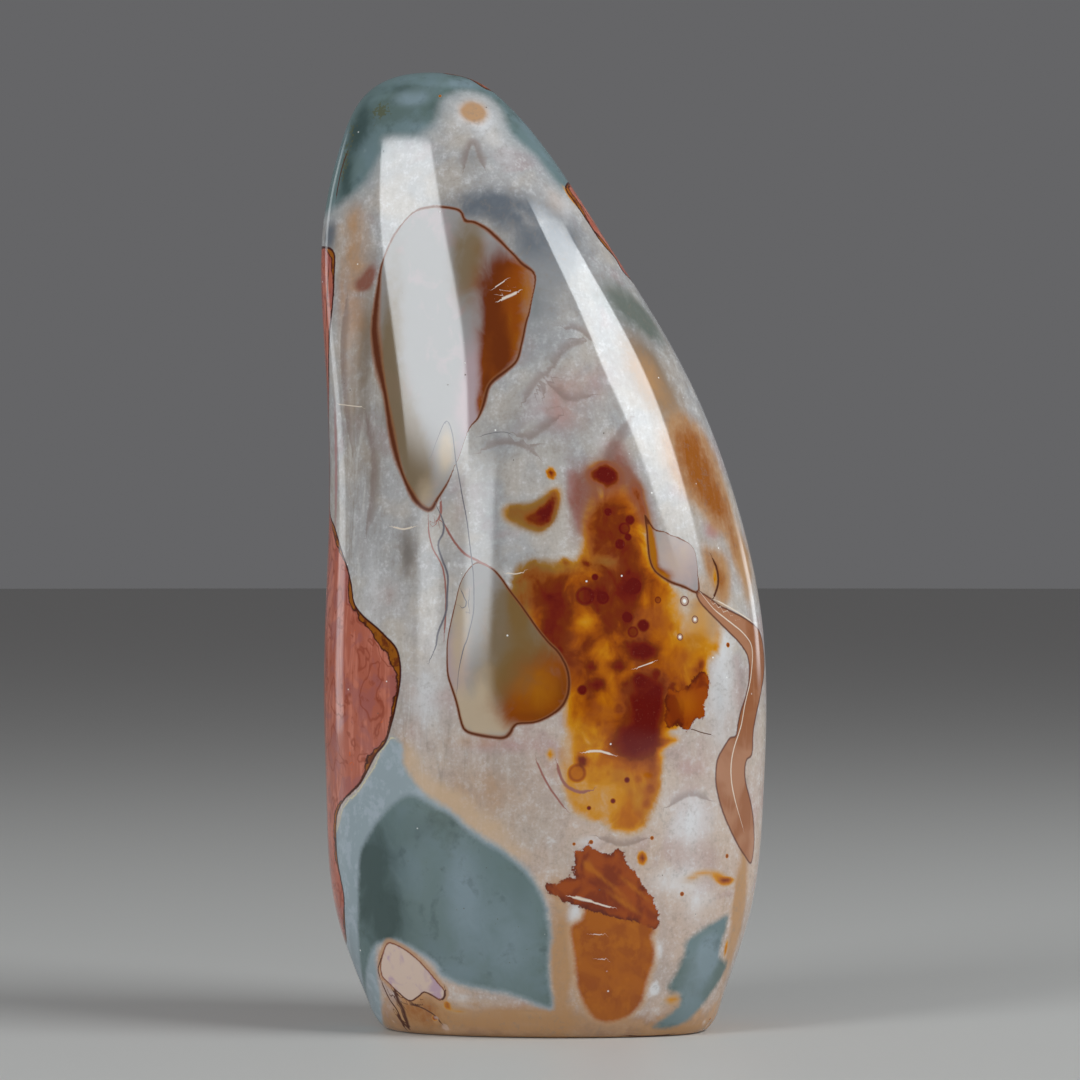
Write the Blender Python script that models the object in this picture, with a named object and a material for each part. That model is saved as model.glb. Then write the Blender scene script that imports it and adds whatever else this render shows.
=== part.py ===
# A polished freeform of polychrome jasper: one upright stone that leans to the left at its top,
# rounded all over by hand and ground flat underneath so that it stands.
# Metres, +Z up, the broad front towards -Y. The origin is the middle of the ground base.

import math

import bmesh
import bpy
import numpy as np

MM = 0.001

# Overall form. The pebble's own lower tip is below the ground base, which cuts it off.
HEIGHT = 150.0
LOWER_TIP = -15.0
COLUMNS = 72
RINGS = 54

# Left and right edges of the front view: (height, distance from the middle line), in mm.
LEFT_EDGE = [
    (150.0, -18.1),
    (149.2, -23.6),
    (145.6, -28.8),
    (137.0, -32.4),
    (129.9, -34.1),
    (120.5, -35.0),
    (100.0, -34.1),
    (80.0, -33.8),
    (64.0, -34.4),
    (50.0, -34.6),
    (35.7, -34.2),
    (16.9, -32.3),
    (4.3, -27.6),
    (0.0, -25.2),
    (LOWER_TIP, 0.0),
]
RIGHT_EDGE = [
    (150.0, -18.1),
    (148.8, -11.2),
    (145.6, -6.5),
    (137.0, 0.9),
    (120.5, 11.6),
    (101.7, 22.8),
    (82.8, 30.2),
    (64.0, 34.3),
    (50.0, 35.0),
    (35.7, 34.5),
    (16.9, 32.1),
    (4.3, 27.9),
    (0.0, 25.9),
    (LOWER_TIP, 0.0),
]

# Front and back edges of the side view, in mm from the middle.
FRONT_EDGE = [
    (150.0, 0.5),
    (143.0, -7.2),
    (133.0, -11.4),
    (120.0, -15.0),
    (100.0, -19.0),
    (75.0, -22.2),
    (50.0, -23.4),
    (30.0, -22.4),
    (12.0, -19.6),
    (0.0, -15.2),
    (LOWER_TIP, 0.0),
]
BACK_EDGE = [
    (150.0, 0.5),
    (143.0, 8.2),
    (133.0, 12.4),
    (120.0, 15.8),
    (100.0, 19.2),
    (75.0, 21.8),
    (50.0, 22.6),
    (30.0, 21.8),
    (12.0, 19.4),
    (0.0, 15.6),
    (LOWER_TIP, 0.0),
]

# Broad polished faces: the bearing each looks to (0 is straight ahead, + to the stone's right edge
# as seen from the front), its spread in degrees, the height of its middle and how tall it is in mm,
# and how much flatter than an oval it is.
FACES = [
    {"bearing": -15.0, "spread": 10.0, "height": 128.0, "tall": 22.0, "flatter": 2.6},
    {"bearing": -16.0, "spread": 9.0, "height": 75.0, "tall": 30.0, "flatter": 0.5},
    {"bearing": 36.0, "spread": 10.0, "height": 112.0, "tall": 40.0, "flatter": 1.2},
    {"bearing": 42.0, "spread": 14.0, "height": 40.0, "tall": 30.0, "flatter": 0.5},
    {"bearing": -72.0, "spread": 14.0, "height": 50.0, "tall": 40.0, "flatter": 0.9},
    {"bearing": 118.0, "spread": 18.0, "height": 90.0, "tall": 50.0, "flatter": 0.4},
    {"bearing": 186.0, "spread": 20.0, "height": 105.0, "tall": 45.0, "flatter": 0.8},
    {"bearing": -130.0, "spread": 15.0, "height": 60.0, "tall": 50.0, "flatter": 0.5},
    {"bearing": 2.0, "spread": 14.0, "height": 0.0, "tall": 12.0, "flatter": 1.0},
    {"bearing": 84.0, "spread": 13.0, "height": 0.0, "tall": 14.0, "flatter": 2.0},
]
SKEW = 0.07  # how far the right edge comes forward for each unit across

RIM_ROUNDING = 0.8
RIM_STEPS = 3
SMOOTH_BELOW = math.radians(40)

OUTLINE_STEPS = 720


def depth_from_top(height):
    """Root of the share of the height that is above: a round top is a straight line against it."""
    return math.sqrt(max(0.0, (HEIGHT - height) / HEIGHT))


def smooth_curve(knots):
    """A natural cubic through the knots, read by height."""
    place = np.array([depth_from_top(height) for height, _ in knots])
    value = np.array([reach for _, reach in knots])
    step = np.diff(place)
    slope = np.diff(value) / step
    count = len(knots)
    system = np.eye(count)
    target = np.zeros(count)
    for i in range(1, count - 1):
        system[i, i - 1 : i + 2] = step[i - 1], 2 * (step[i - 1] + step[i]), step[i]
        target[i] = 6 * (slope[i] - slope[i - 1])
    bend = np.linalg.solve(system, target)

    def read(height):
        at = depth_from_top(height)
        i = int(np.clip(np.searchsorted(place, at) - 1, 0, count - 2))
        before = at - place[i]
        after = place[i + 1] - at
        straight = value[i] * after / step[i] + value[i + 1] * before / step[i]
        return straight + (
            bend[i] * (after**3 / step[i] - step[i] * after)
            + bend[i + 1] * (before**3 / step[i] - step[i] * before)
        ) / 6

    return read


def scaled_between(values, low, high):
    share = (values - values.min()) / (values.max() - values.min())
    return low + share * (high - low)


def section(height, edges):
    """The outline at one height, walked round from its right end, with the share of the way to
    each point. It turns slowly along the polished faces and quickly over the ridges between."""
    left, right, front, back = (edge(height) for edge in edges)
    bearing = np.linspace(0.0, 2 * math.pi, OUTLINE_STEPS, endpoint=False)
    width = (right - left) / 2
    depth = (back - front) / 2
    radius = (width * depth) ** 2 / np.hypot(width * np.cos(bearing), depth * np.sin(bearing)) ** 3
    for face in FACES:
        middle = math.radians(face["bearing"] - 90)
        away = np.angle(np.exp(1j * (bearing - middle))) / math.radians(face["spread"])
        above = (height - face["height"]) / face["tall"]
        radius = radius * (1 + face["flatter"] * np.exp(-(away**2 + above**2) / 2))
    radius = radius - 2 * np.mean(radius * np.cos(bearing)) * np.cos(bearing)
    radius = radius - 2 * np.mean(radius * np.sin(bearing)) * np.sin(bearing)
    across = scaled_between(np.cumsum(-radius * np.sin(bearing)), left, right)
    along = scaled_between(np.cumsum(radius * np.cos(bearing)), front, back)
    middle = (left + right) / 2
    along = along - SKEW * (across - middle)
    points = np.stack([across, along], axis=1)
    points = np.vstack([points, points[:1]])
    way = np.concatenate([[0.0], np.cumsum(np.hypot(*np.diff(points, axis=0).T))])
    return points, way / way[-1]


def shape_stone(mesh):
    """Moves each ring of a round ball onto the stone's outline at its own height."""
    edges = [smooth_curve(knots) for knots in (LEFT_EDGE, RIGHT_EDGE, FRONT_EDGE, BACK_EDGE)]
    tip_share = depth_from_top(LOWER_TIP)
    outlines = {}
    for vertex in mesh.verts:
        turn = math.acos(max(-1.0, min(1.0, vertex.co.z)))
        height = HEIGHT * (1 - (tip_share * math.sin(turn / 2)) ** 2)
        if math.hypot(vertex.co.x, vertex.co.y) < 1e-4:
            left, _, front, _ = (edge(height) for edge in edges)
            vertex.co = (left * MM, front * MM, height * MM)
            continue
        ring = round(turn, 4)
        if ring not in outlines:
            outlines[ring] = section(height, edges)
        points, way = outlines[ring]
        share = (math.atan2(vertex.co.y, vertex.co.x) / (2 * math.pi)) % 1.0
        across = np.interp(share, way, points[:, 0])
        along = np.interp(share, way, points[:, 1])
        vertex.co = (across * MM, along * MM, height * MM)


def stand_over_origin(mesh):
    """Puts the middle of the stone's width and depth over the origin."""
    for axis in (0, 1):
        places = [vertex.co[axis] for vertex in mesh.verts if vertex.co.z >= 0]
        middle = (min(places) + max(places)) / 2
        for vertex in mesh.verts:
            vertex.co[axis] -= middle


def grind_base(mesh):
    """Cuts the pebble's lower tip off flat, closes the cut and rounds its rim."""
    cut = bmesh.ops.bisect_plane(
        mesh,
        geom=list(mesh.verts) + list(mesh.edges) + list(mesh.faces),
        dist=1e-7,
        plane_co=(0.0, 0.0, 0.0),
        plane_no=(0.0, 0.0, 1.0),
        clear_inner=True,
    )
    rim = [part for part in cut["geom_cut"] if isinstance(part, bmesh.types.BMEdge)]
    bmesh.ops.edgeloop_fill(mesh, edges=rim)
    bmesh.ops.bevel(
        mesh,
        geom=rim,
        offset=RIM_ROUNDING * MM,
        offset_type="OFFSET",
        segments=RIM_STEPS,
        profile=0.5,
        affect="EDGES",
    )
    bmesh.ops.recalc_face_normals(mesh, faces=mesh.faces)


def jasper():
    material = bpy.data.materials.new("jasper")
    material.use_nodes = True
    surface = material.node_tree.nodes["Principled BSDF"]
    surface.inputs["Base Color"].default_value = (0.45, 0.36, 0.30, 1.0)
    surface.inputs["Roughness"].default_value = 0.08
    surface.inputs["Metallic"].default_value = 0.0
    surface.inputs["IOR"].default_value = 1.54
    return material


def make_stone(collection):
    mesh = bmesh.new()
    bmesh.ops.create_uvsphere(mesh, u_segments=COLUMNS, v_segments=RINGS, radius=1.0)
    shape_stone(mesh)
    stand_over_origin(mesh)
    grind_base(mesh)
    data = bpy.data.meshes.new("stone")
    mesh.to_mesh(data)
    mesh.free()
    data.shade_smooth()
    data.set_sharp_from_angle(angle=SMOOTH_BELOW)
    data.materials.append(jasper())
    stone = bpy.data.objects.new("stone", data)
    collection.objects.link(stone)
    return stone


def main():
    for thing in list(bpy.data.objects):
        bpy.data.objects.remove(thing, do_unlink=True)
    collection = bpy.data.collections.new("jasper_freeform")
    bpy.context.scene.collection.children.link(collection)
    make_stone(collection)


main()
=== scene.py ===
import math

import bpy
import numpy as np
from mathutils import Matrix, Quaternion, Vector
from mathutils.bvhtree import BVHTree


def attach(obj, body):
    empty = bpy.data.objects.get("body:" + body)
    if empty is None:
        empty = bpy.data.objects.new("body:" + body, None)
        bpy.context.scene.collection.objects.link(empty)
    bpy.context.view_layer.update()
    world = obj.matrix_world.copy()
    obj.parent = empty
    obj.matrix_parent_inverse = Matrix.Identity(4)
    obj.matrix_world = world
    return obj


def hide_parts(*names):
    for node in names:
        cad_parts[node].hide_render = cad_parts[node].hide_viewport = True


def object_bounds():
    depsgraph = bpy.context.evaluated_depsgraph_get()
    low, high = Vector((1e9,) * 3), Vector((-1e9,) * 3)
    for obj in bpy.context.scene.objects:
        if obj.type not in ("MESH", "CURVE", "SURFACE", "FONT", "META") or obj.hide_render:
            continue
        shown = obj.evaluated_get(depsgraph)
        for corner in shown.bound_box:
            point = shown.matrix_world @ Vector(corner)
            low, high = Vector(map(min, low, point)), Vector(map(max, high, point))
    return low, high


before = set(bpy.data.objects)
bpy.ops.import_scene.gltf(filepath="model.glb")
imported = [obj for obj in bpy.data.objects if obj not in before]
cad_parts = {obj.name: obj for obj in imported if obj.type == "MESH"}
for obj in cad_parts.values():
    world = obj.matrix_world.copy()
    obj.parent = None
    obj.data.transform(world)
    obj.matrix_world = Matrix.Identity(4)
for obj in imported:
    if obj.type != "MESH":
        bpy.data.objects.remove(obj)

# The stone is remade over its frame as one fine closed mesh. Its markings are outlines drawn on that
# surface, and each is kept at the mesh's points as a distance in mm, which the material reads.

cadLow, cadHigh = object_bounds()
mm = 0.001
print("frame loaded, nodes", sorted(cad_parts))

# Outlines seen from the front are given in pixels of the photo, through this camera.
camera = {
    "photoPixels": 1080,
    "middlePixel": 540.0,
    "originPixel": 543.3,  # the photo's column that the origin is in
    "metresPerPixel": 0.157e-3,  # at the stone's middle
    "distance": 0.66,
    "height": 0.0765,
    "sensor": 36.0,
    "clip": (0.01, 50.0),
}


def cameraPlace():
    across = (camera["middlePixel"] - camera["originPixel"]) * camera["metresPerPixel"]
    return Vector((across, -camera["distance"], camera["height"]))


def makeCamera():
    data = bpy.data.cameras.new("camera")
    data.sensor_width = camera["sensor"]
    frameWidth = camera["photoPixels"] * camera["metresPerPixel"]
    data.lens = camera["sensor"] * camera["distance"] / frameWidth
    data.clip_start, data.clip_end = camera["clip"]
    eye = bpy.data.objects.new("camera", data)
    eye.location = cameraPlace()
    eye.rotation_euler = (math.radians(90), 0.0, 0.0)
    bpy.context.scene.collection.objects.link(eye)
    bpy.context.scene.camera = eye


# The fine surface

fineSurface = {
    "frameColumns": 72,  # points in each ring of the frame's stone
    "rimRings": 4,  # rings of the rounded rim, from its lower edge up
    "columns": 360,
    "rows": 244,  # from the top to the rounded rim
    "baseSteps": [0.97, 0.8, 0.6, 0.4, 0.2],  # rings of the flat underside, as shares of its rim
    "blockSize": 400,  # points compared with a line at a time
}

# How the markings are laid on it, in mm unless said
laying = {
    "lineSpacing": 0.5,
    "threadSpacing": 0.4,
    "areaReach": 8.0,  # distances are followed this far from a line
    "threadReach": 2.5,
    "offThread": 50.0,  # half widths, where no thread is near
    "threadEnds": 8,  # a thread tapers over one part in this many at each end
    "thinnest": 0.35,  # of a thread's half width, at its very end
    "facing": -0.2,  # a stain stays on faces that turn away no further than this
    "roundedTop": 130,  # the photo's row above which a place past the edge is also sought lower down
    "stepDown": 0.6,  # pixels, for each pixel inwards
}


def orderedRings(node):
    # the frame's stone as a pole and rings whose first points lie in one line
    corners = np.array([vertex.co for vertex in node.data.vertices])
    corners = np.unique(np.round(corners, 7), axis=0)
    corners = corners[np.argsort(-corners[:, 2])]
    count = fineSurface["frameColumns"]
    pole = corners[0]
    rings = []
    previous = None
    for start in range(1, len(corners), count):
        ring = corners[start : start + count]
        middle = ring.mean(axis=0)
        ring = ring[np.argsort(np.arctan2(ring[:, 1] - middle[1], ring[:, 0] - middle[0]))]
        shape = (ring - middle) / np.abs(ring - middle).max()
        if previous is not None:
            misfit = [np.abs(np.roll(shape, -shift, axis=0) - previous).sum() for shift in range(count)]
            shift = int(np.argmin(misfit))
            ring = np.roll(ring, -shift, axis=0)
            shape = np.roll(shape, -shift, axis=0)
        previous = shape
        rings.append(ring)
    return pole, rings


def withMoreColumns(ring):
    count = fineSurface["columns"]
    return np.fft.irfft(np.fft.rfft(ring, axis=0), count, axis=0) * count / len(ring)


def naturalCubic(place, values, wanted):
    step = np.diff(place)
    slope = np.diff(values, axis=0) / step[:, None]
    system = np.eye(len(place))
    target = np.zeros_like(values)
    for i in range(1, len(place) - 1):
        system[i, i - 1 : i + 2] = step[i - 1], 2 * (step[i - 1] + step[i]), step[i]
        target[i] = 6 * (slope[i] - slope[i - 1])
    bend = np.linalg.solve(system, target)
    i = np.clip(np.searchsorted(place, wanted) - 1, 0, len(place) - 2)
    before = (wanted - place[i])[:, None]
    after = (place[i + 1] - wanted)[:, None]
    gap = step[i][:, None]
    straight = (values[i] * after + values[i + 1] * before) / gap
    bendBefore = bend[i] * (after**3 / gap - gap * after)
    bendAfter = bend[i + 1] * (before**3 / gap - gap * before)
    return straight + (bendBefore + bendAfter) / 6


def fineRows(node):
    # rows of points from the top down to the rim of the underside, and each row's way from the top
    pole, rings = orderedRings(node)
    rings = [withMoreColumns(ring) for ring in rings]
    half = fineSurface["columns"] // 2
    side = rings[: len(rings) - fineSurface["rimRings"] + 1]
    over = [np.roll(ring, half, axis=0) for ring in (side[1], side[0])]
    stack = np.array(over + [np.tile(pole, (fineSurface["columns"], 1))] + side)
    steps = np.linalg.norm(np.diff(stack, axis=0), axis=2).mean(axis=1)
    way = np.concatenate([[0.0], np.cumsum(steps)])
    way -= way[len(over)]
    wanted = np.linspace(0.0, way[-1], fineSurface["rows"])
    flat = naturalCubic(way, stack.reshape(len(stack), -1), wanted)
    rows = list(flat.reshape(len(wanted), fineSurface["columns"], 3))
    for ring in rings[len(side) :]:
        wanted = np.append(wanted, wanted[-1] + np.linalg.norm(ring - rows[-1], axis=1).mean())
        rows.append(ring)
    return np.array(rows), wanted


def fitToFrame(points):
    # the smooth surface bulges a hair past the frame's flat faces, so it is drawn in to the same box
    for axis, low, high in ((0, cadLow.x, cadHigh.x), (1, cadLow.y, cadHigh.y)):
        points[..., axis] *= min(1.0, low / points[..., axis].min(), high / points[..., axis].max())
    points[..., 2] = np.clip(points[..., 2], cadLow.z, cadHigh.z)
    return points


class StoneSurface:
    # the stone's points, and the ways of finding a place, a line or an area on it
    def __init__(self, node):
        rows, way = fineRows(node)
        rows = fitToFrame(rows)
        self.rowHeight = rows[:, 0, 2][::-1]
        self.rowMiddle = rows.mean(axis=1)[::-1]
        self.rowWay = way[::-1]
        columns = fineSurface["columns"]
        middle = rows[-1].mean(axis=0)
        base = [middle + (rows[-1] - middle) * share for share in fineSurface["baseSteps"]]
        body = np.concatenate([rows[1:], base]).reshape(-1, 3)
        self.points = np.concatenate([[rows[0, 0]], body, [middle]])
        ringCount = len(body) // columns
        grid = 1 + np.arange(ringCount * columns).reshape(ringCount, columns)
        aside = np.roll(grid, -1, axis=1)
        faces = np.stack([grid[:-1], grid[1:], aside[1:], aside[:-1]], axis=2).reshape(-1, 4).tolist()
        last = len(self.points) - 1
        faces += [[0, int(a), int(b)] for a, b in zip(grid[0], aside[0])]
        faces += [[int(b), int(a), last] for a, b in zip(grid[-1], aside[-1])]
        self.mesh = bpy.data.meshes.new("jasperStone")
        self.mesh.from_pydata(self.points.tolist(), [], faces)
        self.mesh.shade_smooth()
        self.readMesh()

    def readMesh(self):
        count = len(self.mesh.vertices)
        places = np.zeros(count * 3, np.float32)
        self.mesh.vertices.foreach_get("co", places)
        self.points = places.reshape(-1, 3).astype(float)
        directions = np.zeros(count * 3, np.float32)
        self.mesh.vertex_normals.foreach_get("vector", directions)
        self.normals = directions.reshape(-1, 3).astype(float)
        corners = [tuple(polygon.vertices) for polygon in self.mesh.polygons]
        self.tree = BVHTree.FromPolygons(self.points.tolist(), corners)
        self.spread = self.unrolled(self.points)

    def middleAt(self, height):
        return [np.interp(height, self.rowHeight, self.rowMiddle[:, axis]) for axis in (0, 1)]

    def unrolled(self, points):
        # the surface spread flat round its top, with the front towards +Y
        middleX, middleY = self.middleAt(points[:, 2])
        turn = np.arctan2(points[:, 0] - middleX, middleY - points[:, 1])
        way = np.interp(points[:, 2], self.rowHeight, self.rowWay)
        return np.stack([way * np.sin(turn), way * np.cos(turn)], axis=1)

    def fromPhoto(self, x, y):
        # a place that is just past the stone's edge is walked in to it
        eye, middle, size = cameraPlace(), camera["middlePixel"], camera["metresPerPixel"]
        inwards = 1.0 if x < middle else -1.0
        while True:
            ray = Vector(((x - middle) * size, camera["distance"], (middle - y) * size))
            place = self.tree.ray_cast(eye, ray.normalized())[0]
            if place is not None:
                return np.array(place)
            x += inwards
            y += laying["stepDown"] if y < laying["roundedTop"] else 0.0

    def fromRound(self, degrees, height):
        middleX, middleY = self.middleAt(height * mm)
        turn = math.radians(degrees)
        start = Vector((middleX, middleY, height * mm))
        return np.array(self.tree.ray_cast(start, Vector((math.sin(turn), -math.cos(turn), 0.0)))[0])

    def places(self, marking):
        found = [self.fromPhoto(x, y) for x, y in marking.get("front", [])]
        return found + [self.fromRound(turn, height) for turn, height in marking.get("round", [])]

    def spots(self, marking, inPixels):
        # each spot's place, and its other numbers with the first few turned from pixels into mm
        size = camera["metresPerPixel"] / mm
        for x, y, *others in marking.get("front", []):
            scaled = [number * size for number in others[:inPixels]]
            yield self.fromPhoto(x, y), scaled + others[inPixels:]
        for turn, height, *others in marking.get("round", []):
            yield self.fromRound(turn, height), others

    def line(self, marking, closed, spacing=laying["lineSpacing"]):
        # a curve through the marking's places, or straight stretches if it is angular, on the surface
        places = self.places(marking)
        ends = [places[-1]], places[:2]
        if not closed:
            ends = places[:1], places[-1:]
        walked = [*ends[0], *places, *ends[1]]
        found = []
        for a, b, c, d in zip(walked, walked[1:], walked[2:], walked[3:]):
            steps = max(1, round(float(np.linalg.norm(c - b)) / (spacing * mm)))
            for t in np.arange(steps) / steps:
                straight = b + (c - b) * t
                pull = (c - a) * t + (2 * a - 5 * b + 4 * c - d) * t**2 + (3 * b - a - 3 * c + d) * t**3
                found.append(straight if marking.get("angular") else b + pull / 2)
        found.append(places[0] if closed else places[-1])
        return np.array([self.tree.find_nearest(Vector(place))[0] for place in found])

    def away(self, line, far):
        # for each point: its distance to the line in mm, the side it lies on, and how far along it is
        low, high = line.min(axis=0) - far * mm, line.max(axis=0) + far * mm
        close = np.flatnonzero(np.all((self.points > low) & (self.points < high), axis=1))
        distance = np.full(len(self.points), float(far))
        side = np.ones(len(self.points))
        along = np.zeros(len(self.points))
        start, way = line[:-1], np.diff(line, axis=0)
        square = np.maximum((way**2).sum(axis=1), 1e-14)
        for block in np.array_split(close, max(1, len(close) // fineSurface["blockSize"])):
            offset = self.points[block][:, None] - start[None]
            share = np.clip((offset * way).sum(axis=2) / square, 0.0, 1.0)
            gap = offset - share[..., None] * way
            length = np.sqrt((gap**2).sum(axis=2))
            best = length.argmin(axis=1)
            row = np.arange(len(block))
            distance[block] = np.minimum(length[row, best] / mm, far)
            turned = np.cross(way[best], gap[row, best])
            side[block] = np.where((turned * self.normals[block]).sum(axis=1) < 0, -1.0, 1.0)
            along[block] = (best + share[row, best]) / len(way)
        return close, distance, side, along

    def area(self, marking):
        # distance to a closed outline in mm, positive inside it
        line = self.line(marking, True)
        close, distance, _, _ = self.away(line, laying["areaReach"])
        corner = self.unrolled(line)
        x, y = self.spread[close].T
        inside = np.zeros(len(close), bool)
        for (x1, y1), (x2, y2) in zip(corner[:-1], corner[1:]):
            if y1 != y2:
                inside ^= ((y1 > y) != (y2 > y)) & (x < (x2 - x1) * (y - y1) / (y2 - y1) + x1)
        found = -distance
        found[close[inside]] *= -1
        return found

    def areas(self, markings):
        return np.max([self.area(marking) for marking in markings], axis=0)

    def bands(self, markings):
        # distance to the edge of ribbons whose half width changes along them, positive inside
        far = laying["areaReach"]
        found = np.full(len(self.points), -far)
        for marking in markings:
            _, distance, _, along = self.away(self.line(marking, False), far)
            half = np.interp(along, np.linspace(0, 1, len(marking["half"])), marking["half"])
            found = np.maximum(found, half - distance)
        return found

    def threads(self, markings):
        # how many half widths off the middle of a thread, signed, and how far from it in mm
        far = laying["threadReach"]
        near = np.full(len(self.points), far)
        across = np.full(len(self.points), laying["offThread"])
        for marking in markings:
            line = self.line(marking, False, laying["threadSpacing"])
            _, distance, side, along = self.away(line, far)
            toEnd = np.minimum(along, 1 - along)
            taper = np.clip(toEnd * laying["threadEnds"], laying["thinnest"], 1.0)
            closer = distance < near
            near[closer] = distance[closer]
            across[closer] = (distance * side / (marking["half"] * taper))[closer]
        return across, near

    def stainsFrom(self, marking):
        # soft spots added up: half width, half height, strength and, where it has one, lean
        found = np.zeros(len(self.points))
        for place, (wide, tall, strength, *lean) in self.spots(marking, 2):
            outwards = np.array(self.tree.find_nearest(Vector(place))[1])
            rightwards = np.cross((0.0, 0.0, 1.0), outwards)
            rightwards /= max(np.linalg.norm(rightwards), 1e-6)
            offset = (self.points - place) / mm
            facing = (self.normals * outwards).sum(axis=1) > laying["facing"]
            across = offset @ rightwards - (lean[0] if lean else 0.0) * offset[:, 2]
            depth = offset @ outwards
            spread = (across / wide) ** 2 + (offset[:, 2] / tall) ** 2 + (depth / (wide + tall)) ** 2
            found += strength * np.exp(-spread) * facing
        return found

    def keep(self, name, values):
        attribute = self.mesh.attributes.new(name, "FLOAT", "POINT")
        attribute.data.foreach_set("value", values.astype(np.float32))


# Outlines of the markings: "front" in photo pixels (x, y), "round" in degrees round the stone from
# its front (+ to its right edge) and height in mm. An outline is walked through both in that order.

tealCap = {
    "front": [
        (325, 215), (341, 203), (364, 183), (382, 152), (385, 137), (413, 136), (428, 128), (437, 116),
        (439, 106), (446, 96), (469, 91), (492, 99), (504, 114), (512, 134), (535, 155), (558, 183),
        (568, 190),
    ],
    "round": [
        (98, 129), (115, 121), (132, 119), (150, 112), (172, 104), (190, 108), (208, 117), (226, 114),
        (240, 121), (256, 127),
    ],
}

windows = {
    "outer": [
        {
            "front": [
                (338, 827), (343, 807), (358, 791), (371, 771), (380, 754), (391, 738), (402, 744),
                (404, 764), (416, 784), (429, 796), (449, 809), (466, 824), (482, 836), (499, 846),
                (516, 859), (532, 875), (540, 889), (547, 906), (551, 935), (549, 963), (551, 988),
                (552, 1009), (530, 1003), (510, 996), (491, 992), (463, 986), (442, 977), (432, 963),
                (415, 952), (396, 943), (384, 944), (376, 954), (381, 1000), (384, 1026),
            ],
            "round": [(-92, 1), (-100, 6), (-97, 18), (-92, 26)],
        },
        {
            "round": [
                (148, 44), (153, 53), (160, 58), (166, 57), (172, 62), (181, 63), (189, 58), (198, 55),
                (203, 49), (211, 44), (217, 38), (218, 30), (214, 24), (217, 17), (211, 10), (203, 5),
                (188, 2.5), (172, 3), (160, 6), (152, 5), (145, 11), (142, 20), (145, 28), (142, 36),
            ],
        },
        {"round": [
            (97, 46), (101, 52), (106, 50), (108, 43), (113, 39), (111, 31), (107, 27), (104, 20),
            (99, 21), (97, 29), (94, 36),
        ]},
    ],
    "inner": [
        {
            "front": [
                (358, 910), (359, 864), (361, 850), (369, 835), (377, 822), (392, 805), (403, 797),
                (413, 795), (424, 800), (435, 807), (449, 814), (465, 828), (481, 840), (498, 850),
                (514, 862), (529, 877), (538, 890), (545, 907), (549, 935), (548, 963), (550, 988),
                (550, 1006), (530, 1000), (510, 993), (491, 989), (464, 983), (444, 975), (434, 961),
                (416, 949), (397, 940), (384, 941), (372, 950), (366, 985), (366, 1000), (360, 960),
            ],
        },
        {
            "round": [
                (152, 42), (157, 49), (163, 52), (168, 51), (175, 57), (181, 57), (187, 52), (195, 49),
                (201, 43), (208, 39), (213, 34), (214, 30), (209, 24), (212, 18), (206, 12), (199, 8),
                (187, 5.5), (173, 6), (162, 10), (154, 9), (150, 13), (147, 21), (151, 28), (147, 35),
            ],
        },
        {"round": [
            (98, 44), (101, 49), (105, 47), (107, 41), (111, 37), (109.5, 32), (106, 29), (103, 24),
            (100, 25), (98.5, 31), (96, 37),
        ]},
    ],
    # patches with no rim of their own
    "plain": [
        {
            "front": [
                (728, 915), (717, 920), (700, 930), (686, 942), (684, 953), (677, 971), (667, 988),
                (679, 995), (679, 1006), (669, 1014), (653, 1027), (669, 1028), (687, 1021), (702, 1006),
                (712, 992), (722, 976), (727, 963), (720, 957), (722, 942), (726, 929),
            ],
        },
    ],
}

bricks = {
    "outer": [
        {
            "front": [
                (332, 250), (334, 275), (332, 310), (329, 345), (329, 385), (328, 425), (328, 470),
                (330, 510), (335, 528), (341, 549), (346, 564), (351, 583), (354, 603), (363, 616),
                (376, 627), (386, 637), (396, 648), (400, 664), (400, 681), (397, 698), (394, 713),
                (390, 728), (385, 743), (376, 754), (366, 773), (358, 786), (346, 797), (338, 811),
                (336, 826), (337, 856), (341, 880), (344, 900), (346, 935), (346, 942),
            ],
            "round": [
                (-97, 12), (-107, 13), (-116, 20), (-121, 31), (-133, 39), (-141, 52), (-140, 62),
                (-131, 69), (-118, 70), (-106, 75), (-104, 81), (-111, 87), (-123, 88), (-133, 94),
                (-129, 105), (-117, 109), (-108, 118), (-98, 122),
            ],
        },
        {
            "front": [(566, 186), (574, 201), (588, 222), (602, 243), (615, 258), (628, 277)],
            "round": [
                (104, 112), (117, 106), (133, 103), (143, 110), (139, 119), (122, 126), (104, 131),
            ],
        },
        {"front": [(444, 73), (464, 77), (486, 89)], "round": [(95, 146.2), (128, 147), (160, 148.6)]},
        {"round": [
            (202, 87), (207, 93), (212, 95), (217, 91), (219, 83), (215, 77), (214, 69), (210, 66),
            (209, 74), (204, 79),
        ]},
        {"round": [
            (116, 2.5), (118, 9), (122, 16), (127, 27), (132, 30), (134, 24), (131, 17), (135, 10),
            (137, 2.5),
        ]},
    ],
    # amber fill between the outline and the red, as soft spots in mm of width
    "bandWidth": {
        "front": [
            (385, 660, 26, 42, 0.75), (372, 628, 14, 14, 0.5), (365, 770, 14, 30, 0.35),
            (578, 205, 10, 16, 0.8), (612, 262, 8, 14, 0.5),
        ],
        "round": [
            (-140, 54, 7, 14, 1.4), (-118, 108, 8, 6, 0.8), (125, 104, 9, 5, 0.7), (211, 90, 4, 4, 0.6),
        ],
    },
}

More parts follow.
